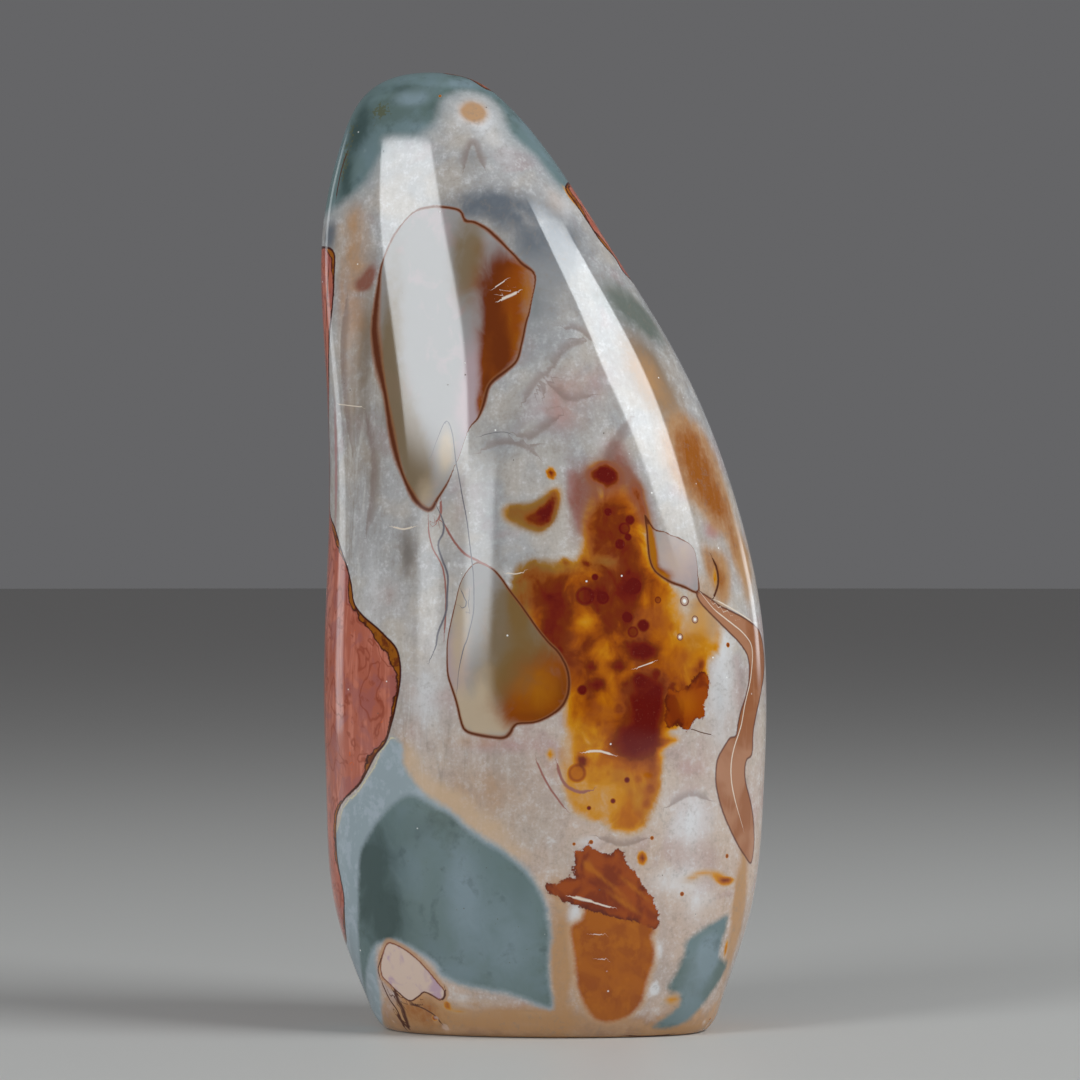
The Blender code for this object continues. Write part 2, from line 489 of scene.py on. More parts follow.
lenses = {
    "outer": [
        {
            "front": [
                (378, 290), (382, 264), (395, 234), (413, 213), (430, 207), (443, 207), (459, 210),
                (463, 216), (465, 221), (474, 222), (487, 229), (497, 238), (507, 248), (515, 256),
                (522, 264), (531, 270), (535, 275), (535, 285), (531, 305), (529, 314), (526, 323),
                (522, 342), (517, 360), (507, 370), (494, 380), (488, 388), (484, 403), (478, 418),
                (469, 429), (459, 457), (456, 464), (448, 482), (438, 498), (430, 510), (418, 503),
                (407, 485), (397, 457), (390, 426), (385, 393), (378, 360), (374, 329), (376, 306),
            ],
        },
        {
            "front": [
                (491, 568), (501, 578), (510, 591), (520, 604), (530, 618), (539, 631), (549, 643),
                (558, 652), (566, 666), (569, 679), (568, 694), (562, 706), (551, 715), (535, 722),
                (516, 724), (510, 733), (503, 738), (484, 736), (466, 731), (461, 721), (457, 704),
                (453, 691), (448, 675), (447, 656), (448, 637), (455, 605), (462, 580), (476, 563),
            ],
        },
        {
            "front": [
                (645, 515), (647, 530), (648, 545), (650, 560), (655, 571), (669, 581), (684, 587),
                (698, 592), (698, 575), (695, 552), (688, 543), (668, 533), (655, 530), (649, 522),
            ],
        },
        {
            "round": [
                (168, 95), (173, 101), (180, 103), (186, 99), (190, 96), (196, 92), (199, 84), (197, 77),
                (192, 73), (193, 67), (188, 63), (181, 65), (178, 70), (172, 71), (166, 77), (163, 84),
                (166, 90),
            ],
        },
        {"round": [
            (226, 90), (228, 97), (233, 102), (231, 109), (226, 111), (222, 106), (217, 101), (219, 94),
        ]},
        {"round": [
            (116, 82), (119, 90), (127, 94), (131, 91), (138, 89), (138, 79), (131, 73), (125, 77),
            (119, 76),
        ]},
    ],
    "lineHalf": 0.17,
    "lineLeast": 0.02,
    "lineMore": {
        "front": [
            (378, 345, 12, 52, 0.7), (393, 440, 12, 50, 0.36), (412, 496, 12, 16, 0.22),
            (428, 508, 12, 10, 0.12), (490, 235, 30, 12, 0.1), (526, 264, 10, 10, 0.1),
            (536, 300, 8, 26, -0.12), (500, 376, 16, 16, 0.14), (484, 400, 8, 14, 0.12),
            (385, 262, 22, 22, -0.1), (410, 220, 18, 14, -0.09), (464, 456, 16, 40, -0.2),
            (468, 585, 26, 36, -0.13), (446, 640, 14, 40, -0.1), (560, 690, 14, 40, 0.08),
            (505, 734, 40, 8, 0.1), (694, 548, 14, 22, -0.17), (672, 530, 20, 7, -0.17),
            (700, 572, 8, 18, -0.12), (672, 584, 30, 5, 0.06),
        ],
        "round": [(194, 76, 5, 12, 0.3), (228, 100, 4, 6, 0.15)],
    },
}

# iron-stained masses
ambers = [
    {
        "front": [
            (590, 496), (604, 488), (622, 486), (638, 486), (646, 512), (646, 532), (648, 552),
            (655, 570), (672, 583), (697, 592), (714, 600), (724, 622), (722, 648), (710, 668),
            (708, 690), (696, 712), (676, 722), (664, 740), (664, 768), (660, 792), (652, 815),
            (640, 832), (618, 836), (600, 827), (578, 820), (561, 806), (554, 778), (553, 750),
            (558, 724), (560, 700), (555, 680), (545, 655), (530, 632), (514, 608), (512, 585),
            (518, 566), (545, 560), (566, 566), (580, 560), (586, 538), (584, 514),
        ],
    },
    {"round": [(96, 72), (101, 80), (110, 84), (118, 78), (119, 70), (112, 66), (107, 71), (101, 66)]},
    {
        "round": [
            (116, 52), (121, 63), (130, 71), (141, 75), (151, 72), (157, 66), (152, 60), (144, 58),
            (140, 50), (133, 41), (124, 38), (117, 43),
        ],
    },
    {"round": [(222, 66), (228, 72), (234, 66), (232, 56), (225, 52), (219, 58)]},
]

# jagged brown leaf-like flakes
leaves = [
    {
        "angular": True,
        "front": [
            (545, 883), (553, 884), (561, 881), (571, 877), (574, 879), (576, 874), (571, 868),
            (576, 866), (574, 857), (574, 850), (582, 851), (587, 846), (592, 842), (590, 848),
            (601, 851), (609, 855), (615, 853), (618, 848), (623, 853), (626, 862), (633, 870),
            (640, 881), (648, 892), (654, 900), (659, 911), (659, 922), (655, 929), (646, 925),
            (628, 920), (608, 916), (590, 911), (575, 905), (564, 902), (557, 895), (547, 894),
        ],
    },
    {
        "front": [
            (667, 688), (678, 691), (688, 684), (694, 678), (702, 672), (708, 676), (709, 691),
            (705, 702), (704, 716), (695, 720), (686, 731), (677, 724), (668, 727), (664, 708),
        ],
    },
    {"round": [(160, 86), (165, 92), (163, 98), (157, 95), (155, 88)]},
    {"angular": True, "round": [
        (226, 34), (231, 41), (235, 36), (233, 28), (238, 22), (229, 20), (224, 27),
    ]},
]

jarPatches = [
    {
        "front": [
            (572, 926), (582, 918), (590, 900), (620, 900), (646, 912), (654, 928), (651, 937),
            (654, 948), (653, 962), (649, 974), (645, 988), (641, 1003), (631, 1014), (618, 1020),
            (606, 1022), (594, 1018), (586, 1007), (579, 992), (576, 974), (574, 953), (571, 937),
        ],
    },
    {"round": [(228, 33), (234, 35), (236, 27), (240, 14), (234, 6), (228, 8), (225, 20)]},
    {"round": [(88, 13), (91, 19), (95, 17), (98, 21), (101, 14), (98, 8), (94, 3), (90, 4), (91, 9)]},
]

pinkChips = [
    {
        "front": [
            (388, 943), (396, 945), (407, 951), (419, 961), (430, 973), (437, 982), (444, 990),
            (444, 996), (440, 1000), (431, 994), (424, 992), (419, 996), (410, 1001), (399, 993),
            (390, 984), (382, 976), (381, 962), (384, 951),
        ],
    },
    {"round": [(143, 88), (149, 93), (154, 88), (151, 80), (145, 81)]},
]

veins = {
    "outlines": [
        {
            "front": [
                (697, 591), (711, 599), (720, 606), (735, 613), (750, 622), (760, 633), (764, 654),
                (764, 672), (762, 686), (758, 706), (755, 720), (753, 733), (752, 754), (747, 759),
                (745, 766), (745, 779), (748, 792), (751, 804), (753, 817), (754, 831), (754, 845),
                (751, 863), (745, 856), (738, 845), (731, 831), (724, 815), (719, 799), (716, 783),
                (716, 770), (718, 758), (724, 747), (730, 738), (736, 736), (738, 724), (741, 711),
                (745, 699), (749, 681), (749, 663), (746, 652), (737, 640), (730, 633), (715, 618),
                (700, 602),
            ],
        },
    ],
    # ribbons whose half width in mm changes along them
    "ribbons": [
        {
            "round": [
                (99, 58), (106, 66), (110, 72), (107, 84), (116, 96), (130, 99), (146, 105), (158, 101),
                (170, 106),
            ],
            "half": [0.5, 2.0, 1.1, 2.3, 1.2, 2.4, 1.3, 1.8, 0.2],
        },
        {
            "round": [(221, 74), (212, 66), (203, 61), (200, 56), (208, 50), (222, 47), (231, 48)],
            "half": [0.2, 1.6, 0.9, 2.2, 1.2, 2.0, 0.4],
        },
    ],
}

threads = {
    # broad faint arcs in the ground
    "veil": [
        {"front": [(554, 369), (561, 356), (571, 347), (586, 342)], "half": 0.7},
        {"front": [(545, 394), (547, 379), (553, 367)], "half": 0.6},
        {"front": [(551, 386), (562, 397), (575, 401), (590, 397)], "half": 0.6},
        {"front": [(526, 400), (535, 386), (546, 373)], "half": 0.6},
        {"front": [(518, 436), (530, 439), (541, 432), (558, 419)], "half": 0.8},
        {"front": [(566, 328), (580, 331), (592, 342)], "half": 0.5},
        {"front": [(484, 450), (502, 444), (520, 446), (536, 456)], "half": 0.6},
        {"front": [(628, 420), (614, 438), (603, 460)], "half": 1.2},
        {"front": [(465, 168), (468, 154), (473, 143), (478, 156), (484, 168)], "half": 0.5},
        {"front": [(346, 300), (341, 350), (345, 410), (352, 450)], "half": 0.8},
        {"front": [(366, 420), (372, 470), (366, 530)], "half": 0.8},
        {"front": [(600, 838), (622, 846), (644, 840)], "half": 0.5},
        {"front": [(670, 806), (690, 796), (708, 800)], "half": 0.5},
        {"round": [(154, 104), (162, 98), (172, 100)], "half": 0.7},
        {"round": [(199, 72), (206, 78), (205, 90)], "half": 0.6},
        {"round": [(108, 100), (116, 92), (112, 84), (104, 88)], "half": 0.8},
        {"round": [(144, 62), (149, 54), (145, 46)], "half": 0.6},
        {"round": [(-108, 84), (-116, 77), (-126, 78)], "half": 0.6},
        {"round": [(86, 60), (93, 52), (90, 42)], "half": 0.7},
    ],
    "grey": [
        {
            "front": [
                (431, 457), (437, 440), (446, 421), (452, 432), (456, 462), (459, 477), (462, 495),
                (467, 521), (470, 546), (473, 572), (474, 597), (473, 615), (467, 640), (464, 647),
                (459, 670), (457, 691),
            ],
            "half": 0.11,
        },
        {
            "front": [
                (436, 505), (443, 521), (443, 533), (438, 546), (446, 569), (448, 577), (447, 597),
                (446, 612), (438, 633), (436, 646), (430, 660),
            ],
            "half": 0.2,
        },
        {"front": [(461, 589), (464, 597), (467, 604), (463, 608), (460, 606)], "half": 0.1},
        {"front": [(480, 436), (492, 433), (505, 432), (512, 435)], "half": 0.06},
        {"round": [(160, 70), (170, 66), (181, 63), (196, 62)], "half": 0.12},
        {"round": [(176, 64), (178, 74), (172, 84), (176, 100)], "half": 0.1},
        {"round": [(236, 112), (228, 116), (216, 110), (206, 104), (202, 96)], "half": 0.13},
        {"round": [(146, 42), (136, 30), (139, 16), (133, 5)], "half": 0.14},
        {"round": [(96, 96), (108, 92), (112, 100), (126, 102)], "half": 0.12},
    ],
    "mauve": [
        {"front": [
            (428, 515), (429, 533), (433, 549), (443, 569), (446, 600), (444, 640),
        ], "half": 0.16},
        {"front": [(443, 522), (453, 540), (464, 553), (476, 560), (491, 568)], "half": 0.22},
        {"front": [(440, 500), (441, 512), (436, 524)], "half": 0.25},
        {"front": [(536, 760), (548, 785), (566, 810)], "half": 0.18},
        {"front": [(557, 763), (561, 778), (568, 787), (580, 792), (592, 790)], "half": 0.3},
        {"round": [(112, 34), (118, 38), (124, 36), (135, 39)], "half": 0.2},
        {"round": [(210, 98), (200, 102), (196, 92)], "half": 0.22},
        {"round": [(84, 100), (92, 92), (98, 86)], "half": 0.25},
    ],
    "brown": [
        {"front": [(395, 990), (397, 998), (403, 1010), (410, 1030)], "half": 0.42},
        {"front": [(404, 1003), (420, 1007), (434, 1015), (444, 1027)], "half": 0.15},
        {"front": [(380, 978), (386, 992), (390, 1000), (398, 1012), (408, 1031)], "half": 0.16},
        {"front": [(391, 988), (394, 992), (390, 998)], "half": 0.1},
        {"front": [(382, 955), (380, 962), (378, 970), (381, 980)], "half": 0.12},
        {"front": [(396, 1014), (402, 1022), (406, 1030)], "half": 0.26},
        {"front": [
            (390, 985), (399, 993), (410, 1001), (419, 996), (424, 992), (431, 995), (440, 1001),
        ], "half": 0.12},
        {"front": [(440, 1001), (445, 996), (444, 989)], "half": 0.2},
        {"front": [(625, 1035), (648, 1036), (672, 1034)], "half": 0.2},
        {"front": [(690, 728), (700, 732), (712, 735)], "half": 0.09},
        {"front": [(711, 556), (717, 569), (718, 584), (713, 599)], "half": 0.25},
        {"front": [(329, 262), (327, 300), (326, 350), (327, 400)], "half": 0.16},
        {"front": [(574, 196), (590, 218), (606, 241), (620, 262)], "half": 0.14},
        {"front": [(348, 150), (342, 168), (338, 186), (336, 200)], "half": 0.14},
        {"round": [(222, 120), (212, 112), (208, 106), (214, 100), (222, 96)], "half": 0.16},
        {"round": [(170, 30), (178, 38), (190, 36), (198, 28)], "half": 0.1},
        {"round": [(103, 58), (112, 56), (117, 48)], "half": 0.15},
        {"round": [
            (-104, 112), (-114, 98), (-106, 92), (-98, 86), (-97, 70), (-108, 56), (-104, 40),
        ], "half": 0.16},
        {"round": [(-124, 64), (-116, 60), (-123, 52), (-118, 42)], "half": 0.12},
    ],
    "pale": [
        {"front": [(571, 896), (582, 899), (594, 902)], "half": 0.28},
        {"front": [(594, 902), (602, 905), (612, 908)], "half": 0.16},
        {"front": [(592, 934), (603, 935)], "half": 0.07},
        {"front": [(598, 958), (606, 960)], "half": 0.07},
        {
            "front": [
                (700, 592), (714, 609), (730, 622), (744, 634), (752, 648), (751, 676), (745, 704),
                (741, 726), (733, 752), (731, 775), (735, 800), (743, 828),
            ],
            "half": 0.12,
        },
        {"front": [(716, 600), (734, 610), (752, 622)], "half": 0.14},
        {"front": [(500, 300), (509, 296), (518, 292)], "half": 0.26},
        {"front": [(494, 288), (506, 280)], "half": 0.1},
        {"front": [(506, 572), (514, 574), (524, 572)], "half": 0.1},
        {"front": [(585, 752), (599, 751), (613, 755)], "half": 0.2},
        {"front": [(338, 404), (362, 407)], "half": 0.09},
        {"front": [(392, 526), (402, 529), (414, 527)], "half": 0.16},
        {"front": [(636, 668), (654, 662)], "half": 0.1},
        {"round": [(134, 96), (142, 101), (154, 101)], "half": 0.12},
        {"round": [(166, 22), (176, 18), (190, 16)], "half": 0.1},
        {"round": [(214, 60), (219, 68)], "half": 0.12},
    ],
}

# soft stains: "front" is x, y, half width, half height in pixels, strength and, if any, lean;
# "round" is degrees and height in mm, then half width and half height in mm, strength, lean
stains = {
    "shade": {
        "front": [
            (520, 270, 60, 50, 0.7), (530, 330, 46, 60, 0.45), (560, 430, 60, 46, 0.4),
            (500, 440, 24, 24, 0.25), (560, 250, 34, 36, 0.4), (470, 160, 12, 34, 0.3),
            (520, 560, 40, 14, 0.3), (720, 700, 10, 40, 0.3), (700, 955, 20, 40, 0.2),
            (415, 760, 20, 30, 0.2), (495, 530, 14, 44, 0.55), (484, 460, 20, 30, 0.35),
            (480, 160, 44, 18, 0.4),
        ],
        "round": [
            (104, 56, 6, 9, 0.8), (150, 78, 5, 9, 0.9), (160, 74, 8, 6, 0.5), (205, 96, 7, 6, 0.8),
            (214, 62, 6, 8, 0.5), (136, 12, 6, 7, 0.6), (116, 30, 5, 8, 0.4), (176, 110, 12, 4, 0.4),
            (222, 12, 4, 7, 0.5), (94, 108, 5, 10, 0.5), (226, 84, 5, 7, 0.6),
        ],
    },
    "dusk": {
        "front": [
            (394, 405, 13, 45, 0.8, -0.2), (366, 350, 10, 62, 0.8), (374, 470, 16, 60, 0.5),
            (352, 420, 18, 120, 0.4), (408, 552, 12, 34, 0.6), (655, 385, 30, 50, 0.9, -0.35),
            (646, 362, 16, 30, 0.5, -0.35), (672, 1031, 30, 6, 0.6),
        ],
        "round": [
            (98, 84, 5, 12, 0.5), (124, 106, 8, 5, 0.5), (162, 108, 9, 4, 0.4), (210, 74, 6, 10, 0.5),
            (146, 56, 6, 8, 0.5), (-134, 40, 5, 10, 0.5), (112, 44, 5, 7, 0.4),
        ],
    },
    "blueGrey": {
        "front": [
            (488, 205, 50, 18, 1.0), (545, 238, 50, 28, 0.7), (408, 552, 12, 36, 0.35),
            (440, 560, 14, 30, 0.3), (330, 235, 12, 20, 0.9), (392, 750, 14, 30, 0.35),
            (742, 700, 8, 80, 0.3),
        ],
        "round": [
            (174, 100, 14, 6, 0.7), (206, 110, 8, 6, 0.8), (140, 34, 4, 12, 0.5), (146, 95, 8, 5, 0.5),
            (100, 90, 6, 10, 0.5), (199, 62, 8, 5, 0.4),
        ],
    },
    "moss": {
        "front": [(628, 306, 34, 26, 1.0, -0.7), (655, 335, 16, 20, 0.6, -0.6), (535, 300, 8, 30, 0.3)],
        "round": [(118, 112, 6, 4, 0.5), (186, 106, 8, 4, 0.5), (226, 76, 4, 6, 0.5)],
    },
    "pink": {
        "front": [
            (560, 405, 30, 30, 0.6), (600, 380, 30, 24, 0.3), (578, 505, 7, 34, 1.2, -0.2),
            (336, 470, 4, 60, 1.2), (640, 760, 30, 22, 0.5, 0.8), (700, 760, 30, 20, 0.3),
            (500, 745, 46, 10, 0.6), (566, 720, 10, 12, 0.6), (350, 300, 20, 60, 0.4),
            (440, 700, 20, 12, 0.3), (690, 770, 16, 10, 0.35), (712, 530, 12, 10, 0.9),
            (740, 905, 8, 30, 0.4), (460, 500, 10, 40, 0.3), (650, 745, 20, 10, 0.5),
            (615, 455, 16, 24, 0.5), (560, 755, 8, 24, 0.5, -0.5), (600, 845, 20, 10, 0.35),
            (640, 905, 14, 24, 0.3),
        ],
        "round": [
            (160, 102, 6, 4, 0.5), (206, 74, 5, 10, 0.6), (130, 34, 5, 6, 0.5), (-138, 76, 6, 8, 0.7),
            (112, 64, 5, 4, 0.5), (224, 100, 4, 10, 0.5), (150, 50, 4, 4, 0.6),
        ],
    },
    "white": {
        "front": [
            (474, 112, 24, 20, 0.8), (350, 330, 6, 60, 0.5), (372, 590, 16, 50, 0.45),
            (500, 150, 24, 34, 0.4), (560, 205, 22, 22, 0.6), (690, 820, 30, 30, 0.8),
            (450, 640, 20, 60, 0.35), (722, 640, 12, 18, 0.5), (675, 880, 30, 16, 0.7),
            (735, 790, 6, 60, 0.5), (425, 700, 18, 34, 0.7), (540, 396, 16, 40, 0.45),
            (600, 440, 20, 12, 0.4), (590, 842, 16, 7, 0.6), (718, 985, 6, 20, 0.3),
            (520, 800, 30, 20, 0.25), (350, 600, 6, 20, 0.5), (722, 690, 20, 60, 0.7),
            (575, 915, 8, 10, 1.3), (472, 1012, 26, 6, 0.7), (524, 1025, 30, 4, 0.5),
            (462, 998, 12, 5, 0.6), (654, 989, 6, 6, 1.3), (657, 950, 6, 10, 0.9),
            (700, 905, 20, 20, 0.6), (368, 966, 7, 4, 0.8), (704, 1023, 3, 3, 1.2),
        ],
        "round": [
            (188, 112, 8, 3, 0.5), (150, 66, 3, 8, 0.3), (196, 66, 6, 5, 0.4), (140, 86, 4, 8, 0.6),
            (112, 14, 5, 8, 0.5), (216, 98, 4, 5, 0.5), (98, 100, 4, 6, 0.4),
        ],
    },
    "tan": {
        "front": [
            (354, 232, 22, 46, 0.5, -0.1), (350, 290, 22, 60, 0.4), (350, 370, 20, 80, 0.3),
            (480, 795, 70, 44, 0.5), (561, 960, 11, 60, 1.4), (420, 1012, 30, 14, 1.0),
            (480, 1018, 60, 12, 1.1), (540, 1022, 40, 12, 1.1), (745, 560, 16, 26, 0.9),
            (675, 1000, 10, 12, 0.7), (730, 940, 7, 40, 0.5), (737, 895, 7, 24, 0.5),
            (741, 905, 10, 60, 1.3), (744, 830, 6, 30, 0.5), (400, 752, 10, 20, 0.6),
            (704, 618, 20, 38, 1.1), (724, 576, 12, 26, 0.9), (744, 570, 10, 50, 0.6),
            (568, 395, 34, 36, 0.3), (705, 912, 16, 14, 0.4), (670, 1030, 40, 8, 1.0),
            (556, 890, 14, 14, 0.5), (474, 111, 13, 11, 1.5), (556, 200, 18, 20, 0.35),
            (690, 880, 26, 8, 0.4), (655, 392, 34, 46, 0.5, -0.5), (642, 362, 20, 30, 0.3, -0.4),
        ],
        "round": [
            (146, 60, 6, 12, 0.7), (222, 44, 6, 6, 0.7), (160, 66, 6, 5, 0.7), (182, 63, 16, 3, 0.6),
            (120, 98, 8, 5, 0.7), (210, 82, 9, 12, 0.5), (-120, 79, 8, 6, 0.6), (134, 6, 12, 4, 1.0),
            (180, 1, 30, 3, 1.0), (230, 4, 12, 4, 1.0), (100, 6, 10, 5, 0.9), (-130, 28, 6, 8, 0.6),
            (150, 106, 6, 4, 0.6), (92, 70, 4, 10, 0.4),
        ],
    },
    "rust": {
        "front": [
            (688, 436, 28, 22, 0.55, -0.3), (698, 470, 34, 38, 1.15, -0.3),
            (719, 508, 20, 28, 0.8, -0.35), (736, 550, 10, 26, 0.6), (712, 566, 12, 20, 0.7, -0.3),
            (720, 580, 9, 24, 0.8), (472, 742, 40, 8, 0.3), (422, 1012, 28, 18, 1.1),
        ],
        "round": [
            (97, 72, 7, 9, 0.7), (206, 98, 6, 5, 0.4), (150, 60, 5, 6, 0.5), (128, 34, 4, 8, 0.5),
            (176, 108, 8, 3, 0.4), (-132, 34, 5, 6, 0.6), (226, 82, 5, 4, 0.5),
        ],
    },
    "mauve": {
        "front": [
            (369, 277, 9, 13, 1.0, 0.4), (360, 284, 10, 7, 0.7), (638, 496, 12, 42, 0.9, -0.35),
            (605, 475, 24, 17, 0.9), (612, 450, 14, 20, 0.35, 0.3), (578, 505, 13, 40, 0.75),
            (598, 494, 20, 18, 0.5), (560, 752, 8, 16, 0.3),
        ],
        "round": [
            (160, 84, 4, 6, 0.5), (118, 56, 4, 5, 0.5), (204, 84, 3, 8, 0.6), (140, 70, 6, 5, 0.4),
        ],
    },
    # the warm edge above the teal
    "halo": {
        "front": [
            (408, 756, 14, 16, 0.6), (424, 782, 24, 16, 0.7, -0.6), (450, 802, 30, 15, 0.8, -0.6),
            (482, 826, 30, 14, 0.7, -0.6), (510, 852, 18, 14, 0.6, -0.6), (562, 905, 8, 20, 0.5),
            (536, 884, 12, 12, 0.5), (476, 1002, 34, 4, 0.5), (530, 1014, 24, 4, 0.4),
        ],
        "round": [
            (150, 56, 6, 5, 0.9), (196, 58, 8, 4, 0.8), (219, 40, 3, 8, 0.8), (141, 30, 3, 8, 0.6),
            (110, 46, 3, 5, 0.8),
        ],
    },
    "speckle": {
        "front": [(381, 111, 11, 9, 1.3), (346, 158, 6, 26, 1.0), (352, 130, 8, 10, 0.6)],
        "round": [(180, 122, 6, 4, 1.0), (228, 128, 5, 5, 1.0), (170, 22, 6, 5, 1.0)],
    },
    # where the ground is fibrous
    "fibre": {
        "front": [
            (360, 430, 30, 150, 1.0), (440, 780, 60, 60, 0.8), (570, 960, 14, 50, 0.8),
            (500, 320, 30, 60, 0.3), (415, 700, 20, 60, 0.8),
        ],
        "round": [
            (100, 70, 8, 40, 0.8), (150, 96, 20, 12, 0.6), (200, 50, 14, 14, 0.7),
            (-110, 60, 10, 30, 0.8),
        ],
    },
    # inside the lenses
    "khaki": {
        "front": [
            (390, 350, 14, 90, 1.1), (408, 440, 18, 60, 1.2, -0.25), (468, 258, 18, 48, 1.1),
            (418, 470, 18, 30, 0.6), (512, 612, 26, 36, 1.1), (524, 668, 42, 54, 0.9),
            (492, 672, 18, 30, 0.4),
        ],
        "round": [
            (175, 88, 4, 8, 1.0), (188, 76, 5, 6, 0.7), (127, 84, 6, 5, 0.8), (225, 100, 3, 6, 0.8),
        ],
    },
    # lilac lens fill; the spot at the left of the second lens is painted reflection, lightening it where
    # a strip of light reflects
    "lilac": {
        "front": [
            (474, 376, 13, 40, 1.0), (468, 410, 14, 30, 0.9), (456, 664, 12, 40, 1.1),
            (680, 560, 34, 30, 0.9),
        ],
        "round": [(184, 92, 3, 8, 0.8), (130, 86, 4, 4, 0.5)],
    },
    # pale lens fill, partly real; the spots at the left of the second lens are painted reflection,
    # whitening it where a strip of light reflects
    "lensPale": {
        "front": [
            (426, 492, 13, 20, 0.5), (446, 452, 9, 26, 0.9), (676, 556, 40, 34, 0.5),
            (474, 716, 26, 24, 1.0), (500, 724, 18, 12, 0.7), (486, 684, 14, 30, 0.5),
            (460, 620, 12, 50, 0.7), (457, 672, 10, 34, 0.3),
        ],
        "round": [(178, 80, 4, 6, 0.7), (122, 82, 3, 5, 0.8)],
    },
    "lensAmber": {
        "front": [
            (507, 277, 29, 36, 1.05), (504, 315, 27, 40, 1.05), (500, 350, 18, 30, 1.3),
            (488, 382, 9, 22, 1.2), (480, 405, 5, 14, 0.9), (556, 692, 42, 44, 1.2),
            (520, 712, 32, 18, 0.7), (651, 546, 6, 30, 1.8, -0.1), (662, 576, 12, 7, 1.4),
        ],
        "round": [(189, 86, 4, 9, 1.2), (132, 80, 4, 4, 1.1), (228, 105, 2, 3, 1.0)],
    },
    "lensDark": {
        "front": [
            (490, 300, 15, 66, 1.1), (506, 258, 14, 18, 0.5), (503, 356, 9, 30, 1.0),
            (487, 390, 6, 18, 0.8), (562, 690, 10, 22, 0.6), (502, 243, 20, 8, 0.6),
            (540, 716, 30, 8, 0.5),
        ],
        "round": [(191, 90, 2, 6, 0.8), (134, 82, 2, 4, 0.8)],
    },
    "glow": {
        "front": [
            (527, 298, 9, 42, 0.8), (518, 346, 6, 16, 0.5), (510, 318, 3, 22, 0.4),
            (536, 688, 30, 28, 0.8), (605, 880, 4, 18, 0.9, -1.2), (634, 888, 4, 16, 0.8, -1.2),
            (588, 866, 5, 8, 0.6), (652, 545, 6, 30, 1.6), (664, 577, 12, 6, 1.0),
            (686, 702, 16, 16, 0.6), (624, 903, 5, 15, 0.9, -1.4),
        ],
        "round": [(187, 82, 2, 6, 0.8), (130, 78, 3, 2, 0.8)],
    },
    # inside the teal
    "tealDeep": {
        "front": [
            (374, 875, 34, 66, 1.1), (388, 930, 36, 30, 0.4), (440, 950, 40, 26, 0.2),
            (345, 185, 10, 34, 0.8), (362, 124, 16, 26, 1.0), (398, 88, 26, 6, 0.5),
            (436, 108, 10, 12, 0.5), (430, 830, 30, 20, 0.4), (520, 890, 14, 30, 0.3),
        ],
        "round": [
            (164, 30, 8, 14, 0.9), (200, 22, 8, 10, 0.6), (130, 128, 8, 6, 0.6), (196, 118, 12, 5, 0.7),
            (244, 126, 6, 8, 0.6), (103, 36, 3, 7, 0.6),
        ],
    },
    # paler teal, partly real; the spots over the top of the cap and on the patch at the lower right are
    # painted light, brightening teal that the lamps leave darker there
    "tealPale": {
        "front": [
            (462, 895, 20, 60, 0.7), (510, 940, 40, 60, 0.6), (420, 970, 40, 20, 0.4),
            (412, 98, 20, 9, 0.9), (460, 84, 30, 6, 0.6), (550, 150, 30, 40, 0.5),
            (710, 955, 14, 20, 1.2), (694, 985, 20, 40, 0.5), (420, 128, 30, 10, 0.4),
        ],
        "round": [
            (184, 40, 5, 12, 0.8), (172, 16, 8, 5, 0.5), (158, 124, 14, 6, 0.6), (220, 122, 8, 8, 0.5),
        ],
    },
    # iron stain: adds to its depth, from the pale fringe to maroon
    "iron": {
        "front": [
            (511, 512, 9, 8, 0.35), (529, 516, 19, 12, 0.55), (546, 508, 11, 17, 0.5, 0.4),
            (549, 510, 5, 14, 0.6, 0.4), (688, 704, 17, 20, 0.2), (560, 606, 38, 50, 0.22),
            (628, 585, 28, 44, 0.22), (610, 518, 28, 42, 0.22), (690, 620, 24, 36, -0.22),
            (520, 515, 6, 4, -0.15), (605, 475, 13.5, 9.5, 1.5), (551, 473, 4, 4.5, 0.9),
            (715, 578, 3, 12, 0.4), (615, 526, 20, 30, 0.26), (642, 505, 5, 30, 0.3, -0.3),
            (600, 640, 40, 40, 0.12), (532, 590, 12, 22, 0.16), (552, 612, 13, 26, 0.3),
            (556, 640, 14, 16, 0.2), (560, 585, 12, 16, 0.16), (634, 586, 12, 10, 0.4),
            (602, 597, 12, 10, 0.22), (620, 615, 26, 18, 0.16), (587, 620, 10, 10, -0.35),
            (609, 562, 14, 5, -0.2), (713, 622, 11, 34, -0.2), (690, 604, 14, 10, -0.1),
            (680, 650, 16, 12, 0.05), (643, 652, 14, 8, 0.75), (617, 666, 10, 6, 0.45),
            (592, 666, 6, 6, 0.5), (598, 684, 8, 8, 0.5), (639, 679, 5, 5, 0.45),
            (645, 716, 16, 36, 0.7), (631, 742, 20, 16, 0.6), (657, 696, 9, 20, 0.35),
            (590, 700, 16, 22, 0.1), (563, 740, 10, 40, -0.12), (582, 761, 5, 5, 0.7),
            (675, 690, 14, 20, 0.1), (669, 741, 11, 5, 0.45, 0.8), (676, 724, 9, 5, 0.4, 0.8),
            (700, 672, 6, 8, 0.3), (600, 800, 44, 36, -0.13), (570, 745, 10, 26, -0.12),
            (620, 815, 22, 12, 0.05), (560, 800, 12, 14, -0.15), (642, 858, 4.5, 6, 0.8),
            (704, 872, 18, 4, 0.25), (726, 881, 11, 3.5, 0.8, 0.0), (691, 879, 10, 4, 0.22, 1.2),
            (718, 876, 10, 4, 0.3), (447, 1005, 4, 4, 0.55), (458, 1011, 10, 3, 0.25, -1.0),
